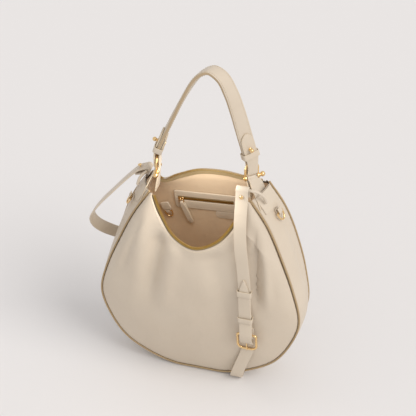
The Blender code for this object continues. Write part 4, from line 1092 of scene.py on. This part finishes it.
# %% Handle strap
PIVOT_X = 0.078             # shackle pins stand this far from the middle
PIVOT_Z = 0.394             # shackle pins' height, before the tilt
PIN_TURN = {-1: radians(-7), 1: radians(48)}   # pins' direction in plan, from +Y
PIN_RADIUS = 0.0016
BOW_RADIUS = 0.0017         # shackle wire
BOW_HALF = 0.0112           # pin centre to a leg's centre line
BOW_HEIGHT = 0.0265         # pin to the arch's centre line
TAB_THICK = 0.0022
LOOP_WIDTH = 0.0168         # leather between a shackle's legs
HANDLE_WIDTH = 0.0250
HANDLE_THICK = 0.0070
TAB_TIP_RISE = 0.082        # pin to the pointed tip of a handle tab
STUD_RISE = 0.054           # pin to the stud that closes the tab
KEEPER_RISE = 0.039         # pin to the middle of the leather keeper
HANDLE_LINE = [
    (-0.0770, 0.0000, 0.431), (-0.0700, 0.0000, 0.449), (-0.0570, 0.0000, 0.480),
    (-0.0400, 0.0000, 0.517), (-0.0240, 0.0000, 0.549), (-0.0070, 0.0000, 0.574),
    (0.0110, 0.0000, 0.5835), (0.0290, 0.0000, 0.572), (0.0430, 0.0000, 0.545),
    (0.0540, 0.0000, 0.512), (0.0630, 0.0000, 0.480), (0.0715, 0.0000, 0.449),
    (0.0765, 0.0000, 0.431)]


def pin_frame(side):
    """Pin centre, pin direction, face direction (outward) and up, for one shackle."""
    centre = lean(Vector((side * PIVOT_X, 0.0, PIVOT_Z)))
    turn = PIN_TURN[side]
    along = Vector((sin(turn), cos(turn), 0.0))
    up = Vector((0, 0, 1))
    face = along.cross(up)
    if face.x * side < 0:
        face = -face
    return centre, along, face, up


def handle_points(count):
    return [lean(Vector(p)) for p in sampled(HANDLE_LINE, count)]


def handle_side(share):
    """Direction of the strap's width along the handle, turning from left to right."""
    turn = PIN_TURN[-1] + (PIN_TURN[1] - PIN_TURN[-1]) * ramp(share, 0.12, 0.9)
    return Vector((sin(turn), cos(turn), 0.0))


def padded_section(width, thick, count=44):
    """A stuffed strap: full in the middle, thin and square at its stitched edges."""
    points = []
    for k in range(count):
        angle = 2 * pi * k / count
        a = width / 2 * (abs(cos(angle)) ** 0.72) * (1 if cos(angle) >= 0 else -1)
        reach = abs(a) / (width / 2)
        full = thick / 2 * (1 - 0.36 * reach ** 4) if reach < 0.985 else thick / 2 * 0.60
        points.append((a, full * (1 if sin(angle) >= 0 else -1) * min(1, abs(sin(angle)) * 9)))
    return points


COUNT = 150
handle_path = handle_points(COUNT)
handle_sides = [handle_side(k / (COUNT - 1)) for k in range(COUNT)]
handle_frames = frames_along(handle_path, handle_sides)
shaped = []
for k, (centre, along, across, out) in enumerate(handle_frames):
    wave = 0.00035 * noise.noise(Vector((k * 0.11, 3.0, 1.0)))
    shaped.append((centre + out * wave, along, across, out))
handle = sweep("handle_leather", shaped, padded_section(HANDLE_WIDTH, HANDLE_THICK),
               [LEATHER, SEAM_EDGE], "handle", "cream_leather", painted=0.01225,
               nodes=("handle_cover", "handle_core"), sharp=60)
for face_sign, face_name in ((1, "outer"), (-1, "inner")):
    for edge in (-1, 1):
        line, outs = [], []
        for centre, along, across, out in shaped[2:-2]:
            line.append(centre + across * (edge * 0.0100) + out * (face_sign * 0.00335))
            outs.append(out * face_sign)
        stitch_row("handle_stitches_%s_%s" % (face_name, "a" if edge < 0 else "b"), line, outs,
                   "handle")
print("handle made")

# %% [markdown]
# Each end of the handle has a pointed tab that folds over the shackle's arch, a leather
# keeper, a ball stud, and a shackle whose knobbed pin runs through a leather chape.

# %% Handle ends


def superloop(centre, first, second, half_a, half_b, count=64, power=0.3):
    """Points round a nearly square band."""
    found = []
    for k in range(count):
        angle = 2 * pi * k / count
        c, s = cos(angle), sin(angle)
        found.append(centre + first * (half_a * abs(c) ** power * (1 if c >= 0 else -1))
                     + second * (half_b * abs(s) ** power * (1 if s >= 0 else -1)))
    return even_loop(found, count)


def even_loop(points, count):
    """The same closed line with evenly spaced points."""
    closed = points + points[:1]
    return [spot for spot, _, _ in even(closed, length_of(closed) / (count + 0.5))]


def ball_end(radius, centre, low=0.17, steps=14):
    """Profile pairs of a ball seen from the side, from its neck to its top."""
    found = []
    for k in range(1, steps + 1):
        angle = -0.5 * pi + pi * (low + (0.99 - low) * k / steps)
        found.append((max(0.00005, radius * cos(angle)), centre + radius * sin(angle)))
    return found


def handle_end(side):
    name = "right" if side > 0 else "left"
    pin, along, face, up = pin_frame(side)
    ends = handle_points(21)
    if side > 0:
        ends = list(reversed(ends))
    run = (ends[2] - ends[0]).normalized()
    across = (along - run * along.dot(run)).normalized()
    out = across.cross(run).normalized()
    if out.dot(face) < 0:
        out = -out
    foot = ends[0]
    reach = (foot - pin).length
    half = HANDLE_THICK / 2 + GAP + TAB_THICK / 2

    def on_face(rise, sign):
        return foot + run * max(0.0, rise - reach) + out * (sign * half)

    # tab from its pointed tip, round the shackle's arch and up the inner face
    keys = [(on_face(rise, 1), width) for rise, width in
            ((TAB_TIP_RISE, 0.08), (TAB_TIP_RISE - 0.0012, 0.30), (TAB_TIP_RISE - 0.004, 0.58),
             (TAB_TIP_RISE - 0.0075, 0.82), (TAB_TIP_RISE - 0.011, 0.96),
             (STUD_RISE + 0.010, 1.0), (STUD_RISE, 1.0), (STUD_RISE - 0.008, 1.0),
             (KEEPER_RISE + 0.005, 1.0), (reach + 0.002, 0.98))]
    slot = 0.0030 + TAB_THICK / 2
    keys += [(pin + up * rise + face * slot, width) for rise, width in ((0.027, 0.82),
                                                                     (0.018, 0.76))]
    centre = pin + up * (PIN_RADIUS + GAP + TAB_THICK * 1.5 + 0.0008 + slot)
    keys += [(spot, 0.76) for spot in fold_points(centre, slot, face, -up, 0, 180, 12)]
    keys += [(pin + up * rise - face * slot, width) for rise, width in ((0.018, 0.76),
                                                                     (0.027, 0.82))]
    keys += [(on_face(rise, -1), width) for rise, width in
             ((reach + 0.002, 0.98), (KEEPER_RISE + 0.005, 1.0), (STUD_RISE - 0.008, 1.0),
              (STUD_RISE, 1.0), (STUD_RISE + 0.010, 1.0), (STUD_RISE + 0.0135, 0.90))]
    path, scales = [], []
    for (spot, width), (after, wider) in zip(keys, keys[1:]):
        for n in range(3):
            path.append(spot.lerp(after, n / 3))
            scales.append(width + (wider - width) * n / 3)
    path.append(keys[-1][0])
    scales.append(keys[-1][1])
    for _ in range(2):
        path = path[:1] + [(a + b * 2 + c) / 4
                           for a, b, c in zip(path, path[1:], path[2:])] + path[-1:]
    frames = frames_along(path, along)
    sweep("handle_tab_leather_" + name, frames, band(0.0222, TAB_THICK, 0.0006, 4),
          [TRIM_LEATHER, EDGE_PAINT], "handle", "cream_leather", scales=scales, painted=0.0108,
          nodes=("handle_tab_" + name,))
    for edge in (-1, 1):
        line, outs = [], []
        for k in range(5, 28):
            spot, _, wide, away = frames[k]
            away = away if away.dot(face) > 0 else -away
            line.append(spot + wide * (edge * (0.0111 * scales[k] - 0.0021))
                        + away * (TAB_THICK / 2 + 0.0001))
            outs.append(away)
        stitch_row("handle_tab_stitches_%s_%s" % (name, "a" if edge < 0 else "b"), line, outs,
                   "handle", 0.0038, 0.0028)

    # keeper
    centre = foot + run * (KEEPER_RISE - reach + 0.004)
    loop = superloop(centre, across, out, HANDLE_WIDTH / 2 + 0.0010,
                     HANDLE_THICK / 2 + TAB_THICK + 2 * GAP + 0.0008, power=0.2)
    sweep("handle_keeper_leather_" + name, frames_along(loop, run, True),
          band(0.0100, 0.0014, 0.0005), [TRIM_LEATHER, EDGE_PAINT], "handle", "cream_leather",
          looped=True, painted=0.0047, nodes=("handle_keeper_" + name,))

    # ball stud with a screw back
    spot = foot + run * (STUD_RISE - reach)
    deep = HANDLE_THICK / 2 + GAP + TAB_THICK + GAP
    profile = [(0.00005, -deep - 0.0013), (0.0030, -deep - 0.0013), (0.0038, -deep - 0.0010),
               (0.0040, -deep - 0.0005), (0.0040, -deep), (0.0014, -deep), (0.0014, deep),
               (0.0031, deep), (0.0032, deep + 0.0003), (0.0030, deep + 0.0008),
               (0.0020, deep + 0.0012), (0.0018, deep + 0.0018), (0.0019, deep + 0.0023)]
    turned("handle_stud_ball_" + name, profile + ball_end(0.0036, deep + 0.0052), spot, out,
           GOLD, "handle", "gold_fittings", nodes=("handle_stud_" + name,))

    # shackle bow and its two flat eyes
    path = [pin - along * BOW_HALF + up * (0.0035 + 0.001 * k) for k in range(8)]
    rise = BOW_HEIGHT - BOW_HALF
    path += fold_points(pin + up * rise, BOW_HALF, -along, up, 0, 180, 32)
    path += [pin + along * BOW_HALF + up * (0.0105 - 0.001 * k) for k in range(8)]
    sweep("shackle_arch_" + name, frames_along(path, face), circle(BOW_RADIUS + 0.0003, 18), GOLD,
          "handle", "gold_fittings", nodes=("shackle_bow_" + name,))
    for end in (-1, 1):
        ring = fold_points(pin + along * (end * BOW_HALF), 0.0033, face, up, 0, 360, 40)[:-1]
        sweep("shackle_eye_%s_%s" % (name, "front" if end < 0 else "back"),
              frames_along(ring, along, True), band(0.0034, 0.0026, 0.0009, 4), GOLD, "handle",
              "gold_fittings", looped=True)

    # pin with a collar and a ball knob
    far = BOW_HALF + 0.0017 + GAP
    profile = [(0.00005, -far - 0.0010), (0.0012, -far - 0.0010), (0.0016, -far - 0.0006),
               (PIN_RADIUS, far), (0.0038, far), (0.0042, far + 0.0003), (0.0042, far + 0.0009),
               (0.0036, far + 0.0013), (0.0017, far + 0.0017), (0.0016, far + 0.0026)]
    turned("shackle_pin_knob_" + name, profile + ball_end(0.0044, far + 0.0068, 0.15), pin,
           along * side, GOLD, "handle", "gold_fittings", nodes=("shackle_pin_" + name,))

    # chape: it folds over the pin and flares down both ways
    radius = PIN_RADIUS + GAP + 0.0010
    outer_foot = lean(Vector((side * 0.1010, 0.0, 0.3440)))
    inner_foot = lean(Vector((side * 0.0800, 0.0, 0.3560)))
    path, sides, scales = [], [], []

    def flare(foot_spot, sign, widest):
        """Points from the pin down to a foot, with the strip's growing width."""
        start = pin + face * (sign * radius)
        found = []
        for k in range(1, 17):
            t = k / 16
            bow = Vector((0, 0, -1)) * (0.010 * sin(pi * t)) * (1 if sign > 0 else 0.2)
            found.append((start.lerp(foot_spot, ramp(t, -0.25, 1.0) * t ** 0.55) - bow * 0.4,
                          along.lerp(Vector((0, 1, 0)), ramp(t, 0.0, 0.8)),
                          1.0 + (widest - 1.0) * ramp(t, 0.10, 0.95)))
        return found

    for spot, way, wide in reversed(flare(outer_foot, 1, 3.05)):
        path.append(spot)
        sides.append(way)
        scales.append(wide)
    path += fold_points(pin, radius, face, up, 0, 180, 14)
    sides += [along] * 15
    scales += [1.0] * 15
    for spot, way, wide in flare(inner_foot, -1, 1.45):
        path.append(spot)
        sides.append(way)
        scales.append(wide)
    chape = sweep("chape_leather_" + name, frames_along(path, sides),
                  band(LOOP_WIDTH, 0.0020, 0.0006, 4), [TRIM_LEATHER, EDGE_PAINT], None,
                  "cream_leather", painted=0.0081, scales=scales, nodes=("chape_" + name,))
    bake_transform(chape)


for side in (-1, 1):
    handle_end(side)
print("handle ends made")

# %% [markdown]
# ## Crossbody strap
# A short strap hangs from the right anchor to the buckle. The long one leaves the left
# anchor, swings out, passes behind and under the bag and comes up through the buckle. Both
# are flat straps 20.5 mm wide.

# %% Strap routes
STRAP_WIDTH = 0.0205
STRAP_THICK = 0.0026
BAR_RADIUS = 0.0025         # rolled leather bars that the strap's ends fold over
RIGHT_BAR = (0.0715, -0.0305, 0.3945)
LEFT_BAR = (-0.101, 0.0200, 0.3715)
FOLD = BAR_RADIUS + GAP + STRAP_THICK / 2 + 0.0004
BUCKLE_BAR = (0.0925, -0.0706, 0.1300)
BUCKLE_WIRE = 0.0018
BUCKLE_HALF = 0.0160        # half the frame's width, to the wire's centre
BUCKLE_TOE = (0.0925, -0.0632, 0.0935)
BUCKLE_FOLD = BUCKLE_WIRE + GAP + STRAP_THICK / 2 + 0.0002
SHORT_ROUTE = [
    (0.0715, -0.0356, 0.386), (0.0717, -0.0372, 0.377), (0.0724, -0.0450, 0.357),
    (0.0738, -0.0537, 0.335), (0.0772, -0.0620, 0.303), (0.0832, -0.0670, 0.262),
    (0.0870, -0.0694, 0.222), (0.0885, -0.0698, 0.184), (0.0905, -0.0702, 0.158),
    (0.0918, -0.0718, 0.143)]
LONG_ROUTE = [
    (-0.1175, 0.0195, 0.3685), (-0.1370, 0.0170, 0.3490), (-0.1600, 0.0120, 0.3230),
    (-0.1845, 0.0100, 0.2930), (-0.2020, 0.0140, 0.2620), (-0.1990, 0.0290, 0.2330),
    (-0.1780, 0.0500, 0.2060), (-0.1420, 0.0680, 0.1860), (-0.1000, 0.0738, 0.1680),
    (-0.0500, 0.0755, 0.1430), (-0.0050, 0.0735, 0.1120), (0.0300, 0.0660, 0.0760),
    (0.0540, 0.0565, 0.0400), (0.0650, 0.0490, 0.0150), (0.0690, 0.0380, 0.0034),
    (0.0690, 0.0200, 0.0016), (0.0690, -0.0200, 0.0016), (0.0690, -0.0380, 0.0034),
    (0.0705, -0.0490, 0.0150), (0.0765, -0.0530, 0.0360), (0.0840, -0.0560, 0.0600),
    (0.0910, -0.0582, 0.0840), (0.0928, -0.0596, 0.0950), (0.0928, -0.0622, 0.1030),
    (0.0926, -0.0755, 0.1190), (0.0924, -0.0780, 0.1300), (0.0917, -0.0764, 0.1430),
    (0.0905, -0.0738, 0.1580), (0.0887, -0.0732, 0.1840), (0.0870, -0.0728, 0.2220),
    (0.0858, -0.0712, 0.2450)]
LONG_WIDTH_WAYS = [
    (0, 1, 0), (0, 1, 0), (0, 1, 0), (0, 1, 0), (0.05, 1, 0.1), (0.2, 1, 0.5),
    (0.4, 0.6, 0.9), (0.45, 0.15, 1), (0.45, 0, 1), (0.55, 0, 0.9), (0.7, 0, 0.8),
    (0.9, 0, 0.55), (1, 0, 0.25), (1, 0, 0.05)]


def curve_at_height(route, z):
    """The point of a downward or upward route at height z."""
    for first, second in zip(route, route[1:]):
        low, high = min(first[2], second[2]), max(first[2], second[2])
        if low <= z <= high:
            share = (z - first[2]) / (second[2] - first[2])
            return Vector(first).lerp(Vector(second), share)
    return Vector(route[-1])


STRAP_SECTION = band(STRAP_WIDTH, STRAP_THICK, 0.0006, 4)

# %% Long strap
bar = Vector(LEFT_BAR)
inward, up = Vector((1, 0, 0)), Vector((0, 0, 1))
top = fold_points(bar, FOLD, inward, up, -112, 105, 20)
ways = [Vector(w) for w in LONG_WIDTH_WAYS]
ways += [Vector((1, 0, 0))] * (len(LONG_ROUTE) - len(ways))
LONG_COUNT = 420
long_path = sampled([top[-1]] + list(LONG_ROUTE), LONG_COUNT)
marks = [0.0]
line = [top[-1]] + [Vector(p) for p in LONG_ROUTE]
for first, second in zip(line, line[1:]):
    marks.append(marks[-1] + (second - first).length)
ways = ways[:1] + ways
long_sides, k = [], 0
for n in range(LONG_COUNT):
    place = n / (LONG_COUNT - 1) * marks[-1]
    while k < len(marks) - 2 and marks[k + 1] < place:
        k += 1
    share = ramp((place - marks[k]) / (marks[k + 1] - marks[k]), 0.0, 1.0)
    long_sides.append(ways[k].normalized().lerp(ways[k + 1].normalized(), share))
tip = [(1 - ((n - (LONG_COUNT - 22)) / 21) ** 2.1 * 0.93) if n > LONG_COUNT - 22 else 1.0
       for n in range(LONG_COUNT)]
long_frames = frames_along(long_path, long_sides)
long_strap = sweep("crossbody_long_leather", long_frames, STRAP_SECTION,
                   [TRIM_LEATHER, EDGE_PAINT], "root", "cream_leather", scales=tip,
                   painted=0.0107, nodes=("crossbody_long_strap",))
fold_path = [top[0] + Vector((-0.0180, 0, -0.0060)), top[0] + Vector((-0.0060, 0, -0.0022))]
fold_path += top
sweep("crossbody_long_fold", frames_along(fold_path, Vector((0, 1, 0))), STRAP_SECTION,
      [TRIM_LEATHER, EDGE_PAINT], "root", "cream_leather", painted=0.0107)
print("long strap", round(length_of(long_path), 3), "m")

# %% Short strap and its fold round the buckle's bar
bar = Vector(RIGHT_BAR)
back = Vector((0, 1, 0))
top = fold_points(bar, FOLD, back, up, 0, 180, 20)
low = Vector(BUCKLE_BAR)
bottom = fold_points(low, BUCKLE_FOLD, -back, -up, -8, 180, 20)
short_path = sampled([top[-1]] + list(SHORT_ROUTE) + [bottom[0]], 130)
short_frames = frames_along(short_path, Vector((1, 0, 0)))
short_strap = sweep("crossbody_short_leather", short_frames, STRAP_SECTION,
                    [TRIM_LEATHER, EDGE_PAINT], "root", "cream_leather", painted=0.0107,
                    nodes=("crossbody_short_strap",))
fold_path = [bar + Vector((0.0, FOLD, -0.0155)), bar + Vector((0.0, FOLD, -0.0080))] + top
sweep("crossbody_short_fold", frames_along(fold_path, Vector((1, 0, 0))), STRAP_SECTION,
      [TRIM_LEATHER, EDGE_PAINT], "root", "cream_leather", painted=0.0107)
# the fold round the bar is split in two, so that the prong comes through between
for edge, label in ((-1, "left"), (1, "right")):
    fold_path = [spot + Vector((edge * 0.0067, 0, 0)) for spot in bottom]
    fold_path += [low + Vector((edge * 0.0067, BUCKLE_FOLD, 0.0075)),
                  low + Vector((edge * 0.0067, BUCKLE_FOLD - 0.0002, 0.0135))]
    sweep("buckle_fold_" + label, frames_along(fold_path, Vector((1, 0, 0))),
                       band(0.0086, STRAP_THICK, 0.0006, 4), TRIM_LEATHER, "root",
                       "cream_leather")
print("short strap", round(length_of(short_path), 3), "m")

# %% Strap anchors: rolled leather bars sewn in beside each shackle
for name, points in (("right", [(0.1072, -0.0150, 0.3640), (0.1042, -0.0190, 0.3770),
                                (0.0970, -0.0260, 0.3890), (0.0880, -0.0300, 0.3942),
                                (0.0640, -0.0305, 0.3945)]),
                     ("left", [(-0.1130, -0.0040, 0.3510), (-0.1092, -0.0020, 0.3640),
                               (-0.1045, 0.0030, 0.3700), (-0.1010, 0.0100, 0.3715),
                               (-0.1010, 0.0340, 0.3715)])):
    frames = frames_along(sampled(points, 60), Vector((0.3, 0.5, 0.8)))
    ends = [sqrt(max(0.05, 1 - (1 - min(1.0, min(k, 59 - k) / 3)) ** 2)) for k in range(60)]
    rings = [[c + a * (x * e) + o * (y * e) for x, y in circle(BAR_RADIUS, 18)]
             for (c, _, a, o), e in zip(frames, ends)]
    lofted("strap_anchor_roll_" + name, rings, TRIM_LEATHER, "root", "cream_leather",
           nodes=("strap_anchor_" + name,))

# %% Buckle frame and prong
top_bar, toe = Vector(BUCKLE_BAR), Vector(BUCKLE_TOE)
run = (toe - top_bar).normalized()
across = Vector((1, 0, 0))
across = (across - run * across.dot(run)).normalized()
out = across.cross(run)
length = (toe - top_bar).length
SHOULDER, TOE_CORNER = 0.0030, 0.0100


def corner_arc(side, down, radius, start):
    """A quarter turn at one corner of the frame, down metres below its bar."""
    centre = top_bar + across * (side * (BUCKLE_HALF - radius)) + run * down
    return fold_points(centre, radius, across, -run, start, start + 90, 9)


path = corner_arc(1, SHOULDER, SHOULDER, 0)
path += [top_bar + across * ((BUCKLE_HALF - SHOULDER) * (1 - 2 * n / 12)) for n in range(1, 12)]
path += corner_arc(-1, SHOULDER, SHOULDER, 90)
path += corner_arc(-1, length - TOE_CORNER, TOE_CORNER, 180)
path += corner_arc(1, length - TOE_CORNER, TOE_CORNER, 270)
path = even_loop(path, 150)
frame_piece = sweep("buckle_frame_wire", frames_along(path, out, True),
                    circle(BUCKLE_WIRE + 0.0002, 18), GOLD, "root", "gold_fittings", looped=True,
                    nodes=("buckle_frame",))
front = Vector((0, -1, 0))
tip_spot = toe + front * (BUCKLE_WIRE + 0.0013 + GAP) + run * 0.0008
ring = fold_points(top_bar, BUCKLE_WIRE + GAP + 0.0011, front, up, -35, 265, 36)
path = [tip_spot + run * 0.0004, tip_spot, tip_spot - run * 0.0016, tip_spot - run * 0.006,
        ring[0].lerp(tip_spot - run * 0.006, 0.4), ring[0] + run * 0.006] + ring
prong_scales = [0.35, 0.75, 1.0, 1.0] + [1.0] * (len(path) - 4)
prong_frames = frames_along(path, across)
rings = [[c + a * (x * s) + o * (y * s) for x, y in circle(0.0011, 14)]
         for (c, _, a, o), s in zip(prong_frames, prong_scales)]
lofted("buckle_prong_rod", rings, GOLD, "buckle_prong", "gold_fittings",
       nodes=("buckle_prong",))

# %% Strap keepers
for label, z, width, slack_room, body in (("upper", 0.2180, 0.0110, 0.0013, "root"),
                                          ("lower", 0.1640, 0.0095, 0.0021,
                                           "strap_keeper_lower")):
    inner, outer = curve_at_height(SHORT_ROUTE, z), curve_at_height(LONG_ROUTE[24:], z)
    half_t = abs(outer.y - inner.y) / 2 + STRAP_THICK / 2 + slack_room
    loop = superloop(inner.lerp(outer, 0.5), Vector((1, 0, 0)), Vector((0, 1, 0)),
                     STRAP_WIDTH / 2 + 0.0016, half_t)
    sweep("strap_keeper_leather_" + label, frames_along(loop, up, True),
                         band(width, 0.0012, 0.0005), [TRIM_LEATHER, EDGE_PAINT], body,
                         "cream_leather", looped=True, painted=width / 2 - 0.0003,
                         nodes=("strap_keeper_" + label,))

# %% Rivets on the straps
for label, spot, axis, half in (
        ("right", Vector(RIGHT_BAR) + Vector((0, -0.0006, -0.0102)), (0, -1, 0), 0.0071),
        ("left", Vector(LEFT_BAR) + Vector((-0.0125, 0, -0.0029)), (-0.28, 0, 1), 0.0072)):
    profile = [(0.00005, -half - 0.0014), (0.0022, -half - 0.0012), (0.0030, -half - 0.0007),
               (0.0032, -half), (0.0012, -half), (0.0012, half), (0.0034, half),
               (0.0034, half + 0.0003)]
    profile += [(0.0033 * cos(pi / 2 * k / 8) + 0.00005, half + 0.0003
                 + 0.0015 * sin(pi / 2 * k / 8)) for k in range(1, 9)]
    turned("strap_rivet_cap_" + label, profile, spot, axis, GOLD, "root", "gold_fittings",
           nodes=("strap_rivet_" + label,))
print("buckle, keepers and rivets made")

# %% [markdown]
# ## Floor and lights
# A pale, matte floor runs far past the bag. A wide soft sun stands high on the right, in
# front, a small unseen lamp in the mouth lifts the lining, and the room is almost white.

# %% Stage
floor_finish = new_material("matte_white_paper", "E4E2E1", 0.9)[0]
floor = bpy.data.objects.new("floor", bpy.data.meshes.new("floor"))
floor.data.from_pydata([(-12, -12, -0.0004), (12, -12, -0.0004), (12, 12, -0.0004),
                        (-12, 12, -0.0004)], [], [(0, 1, 2, 3)])
floor.data.materials.append(floor_finish)
bpy.context.collection.objects.link(floor)


def lamp_at(name, kind, place, power, colour, size):
    """A soft lamp that points at the bag: an area of that size, or a sun that many
    degrees wide."""
    lamp = bpy.data.objects.new(name, bpy.data.lights.new(name, kind))
    if kind == "SUN":
        lamp.data.angle = radians(size)
    else:
        lamp.data.size = size
    lamp.data.energy = power
    lamp.data.color = shade(colour)[:3]
    lamp.location = place
    lamp.rotation_euler = (Vector(place) - Vector((0, 0, 0.27))).to_track_quat(
        "Z", "Y").to_euler()
    bpy.context.collection.objects.link(lamp)


lamp_at("key_light", "SUN", (1.7, -0.7, 1.9), 1.50, "FFFCF9", 38)
lamp_at("mouth_light", "AREA", (0.0, -0.045, 0.415), 0.17, "FFF9F2", 0.10)
bpy.data.objects["mouth_light"].visible_camera = False
world = bpy.data.worlds.new("pale_room")
bpy.context.scene.world = world
world.use_nodes = True
world.node_tree.nodes["Background"].inputs["Color"].default_value = shade("F8F6F6")
world.node_tree.nodes["Background"].inputs["Strength"].default_value = 0.78
bpy.context.scene.view_settings.view_transform = "Standard"
print("stage ready")
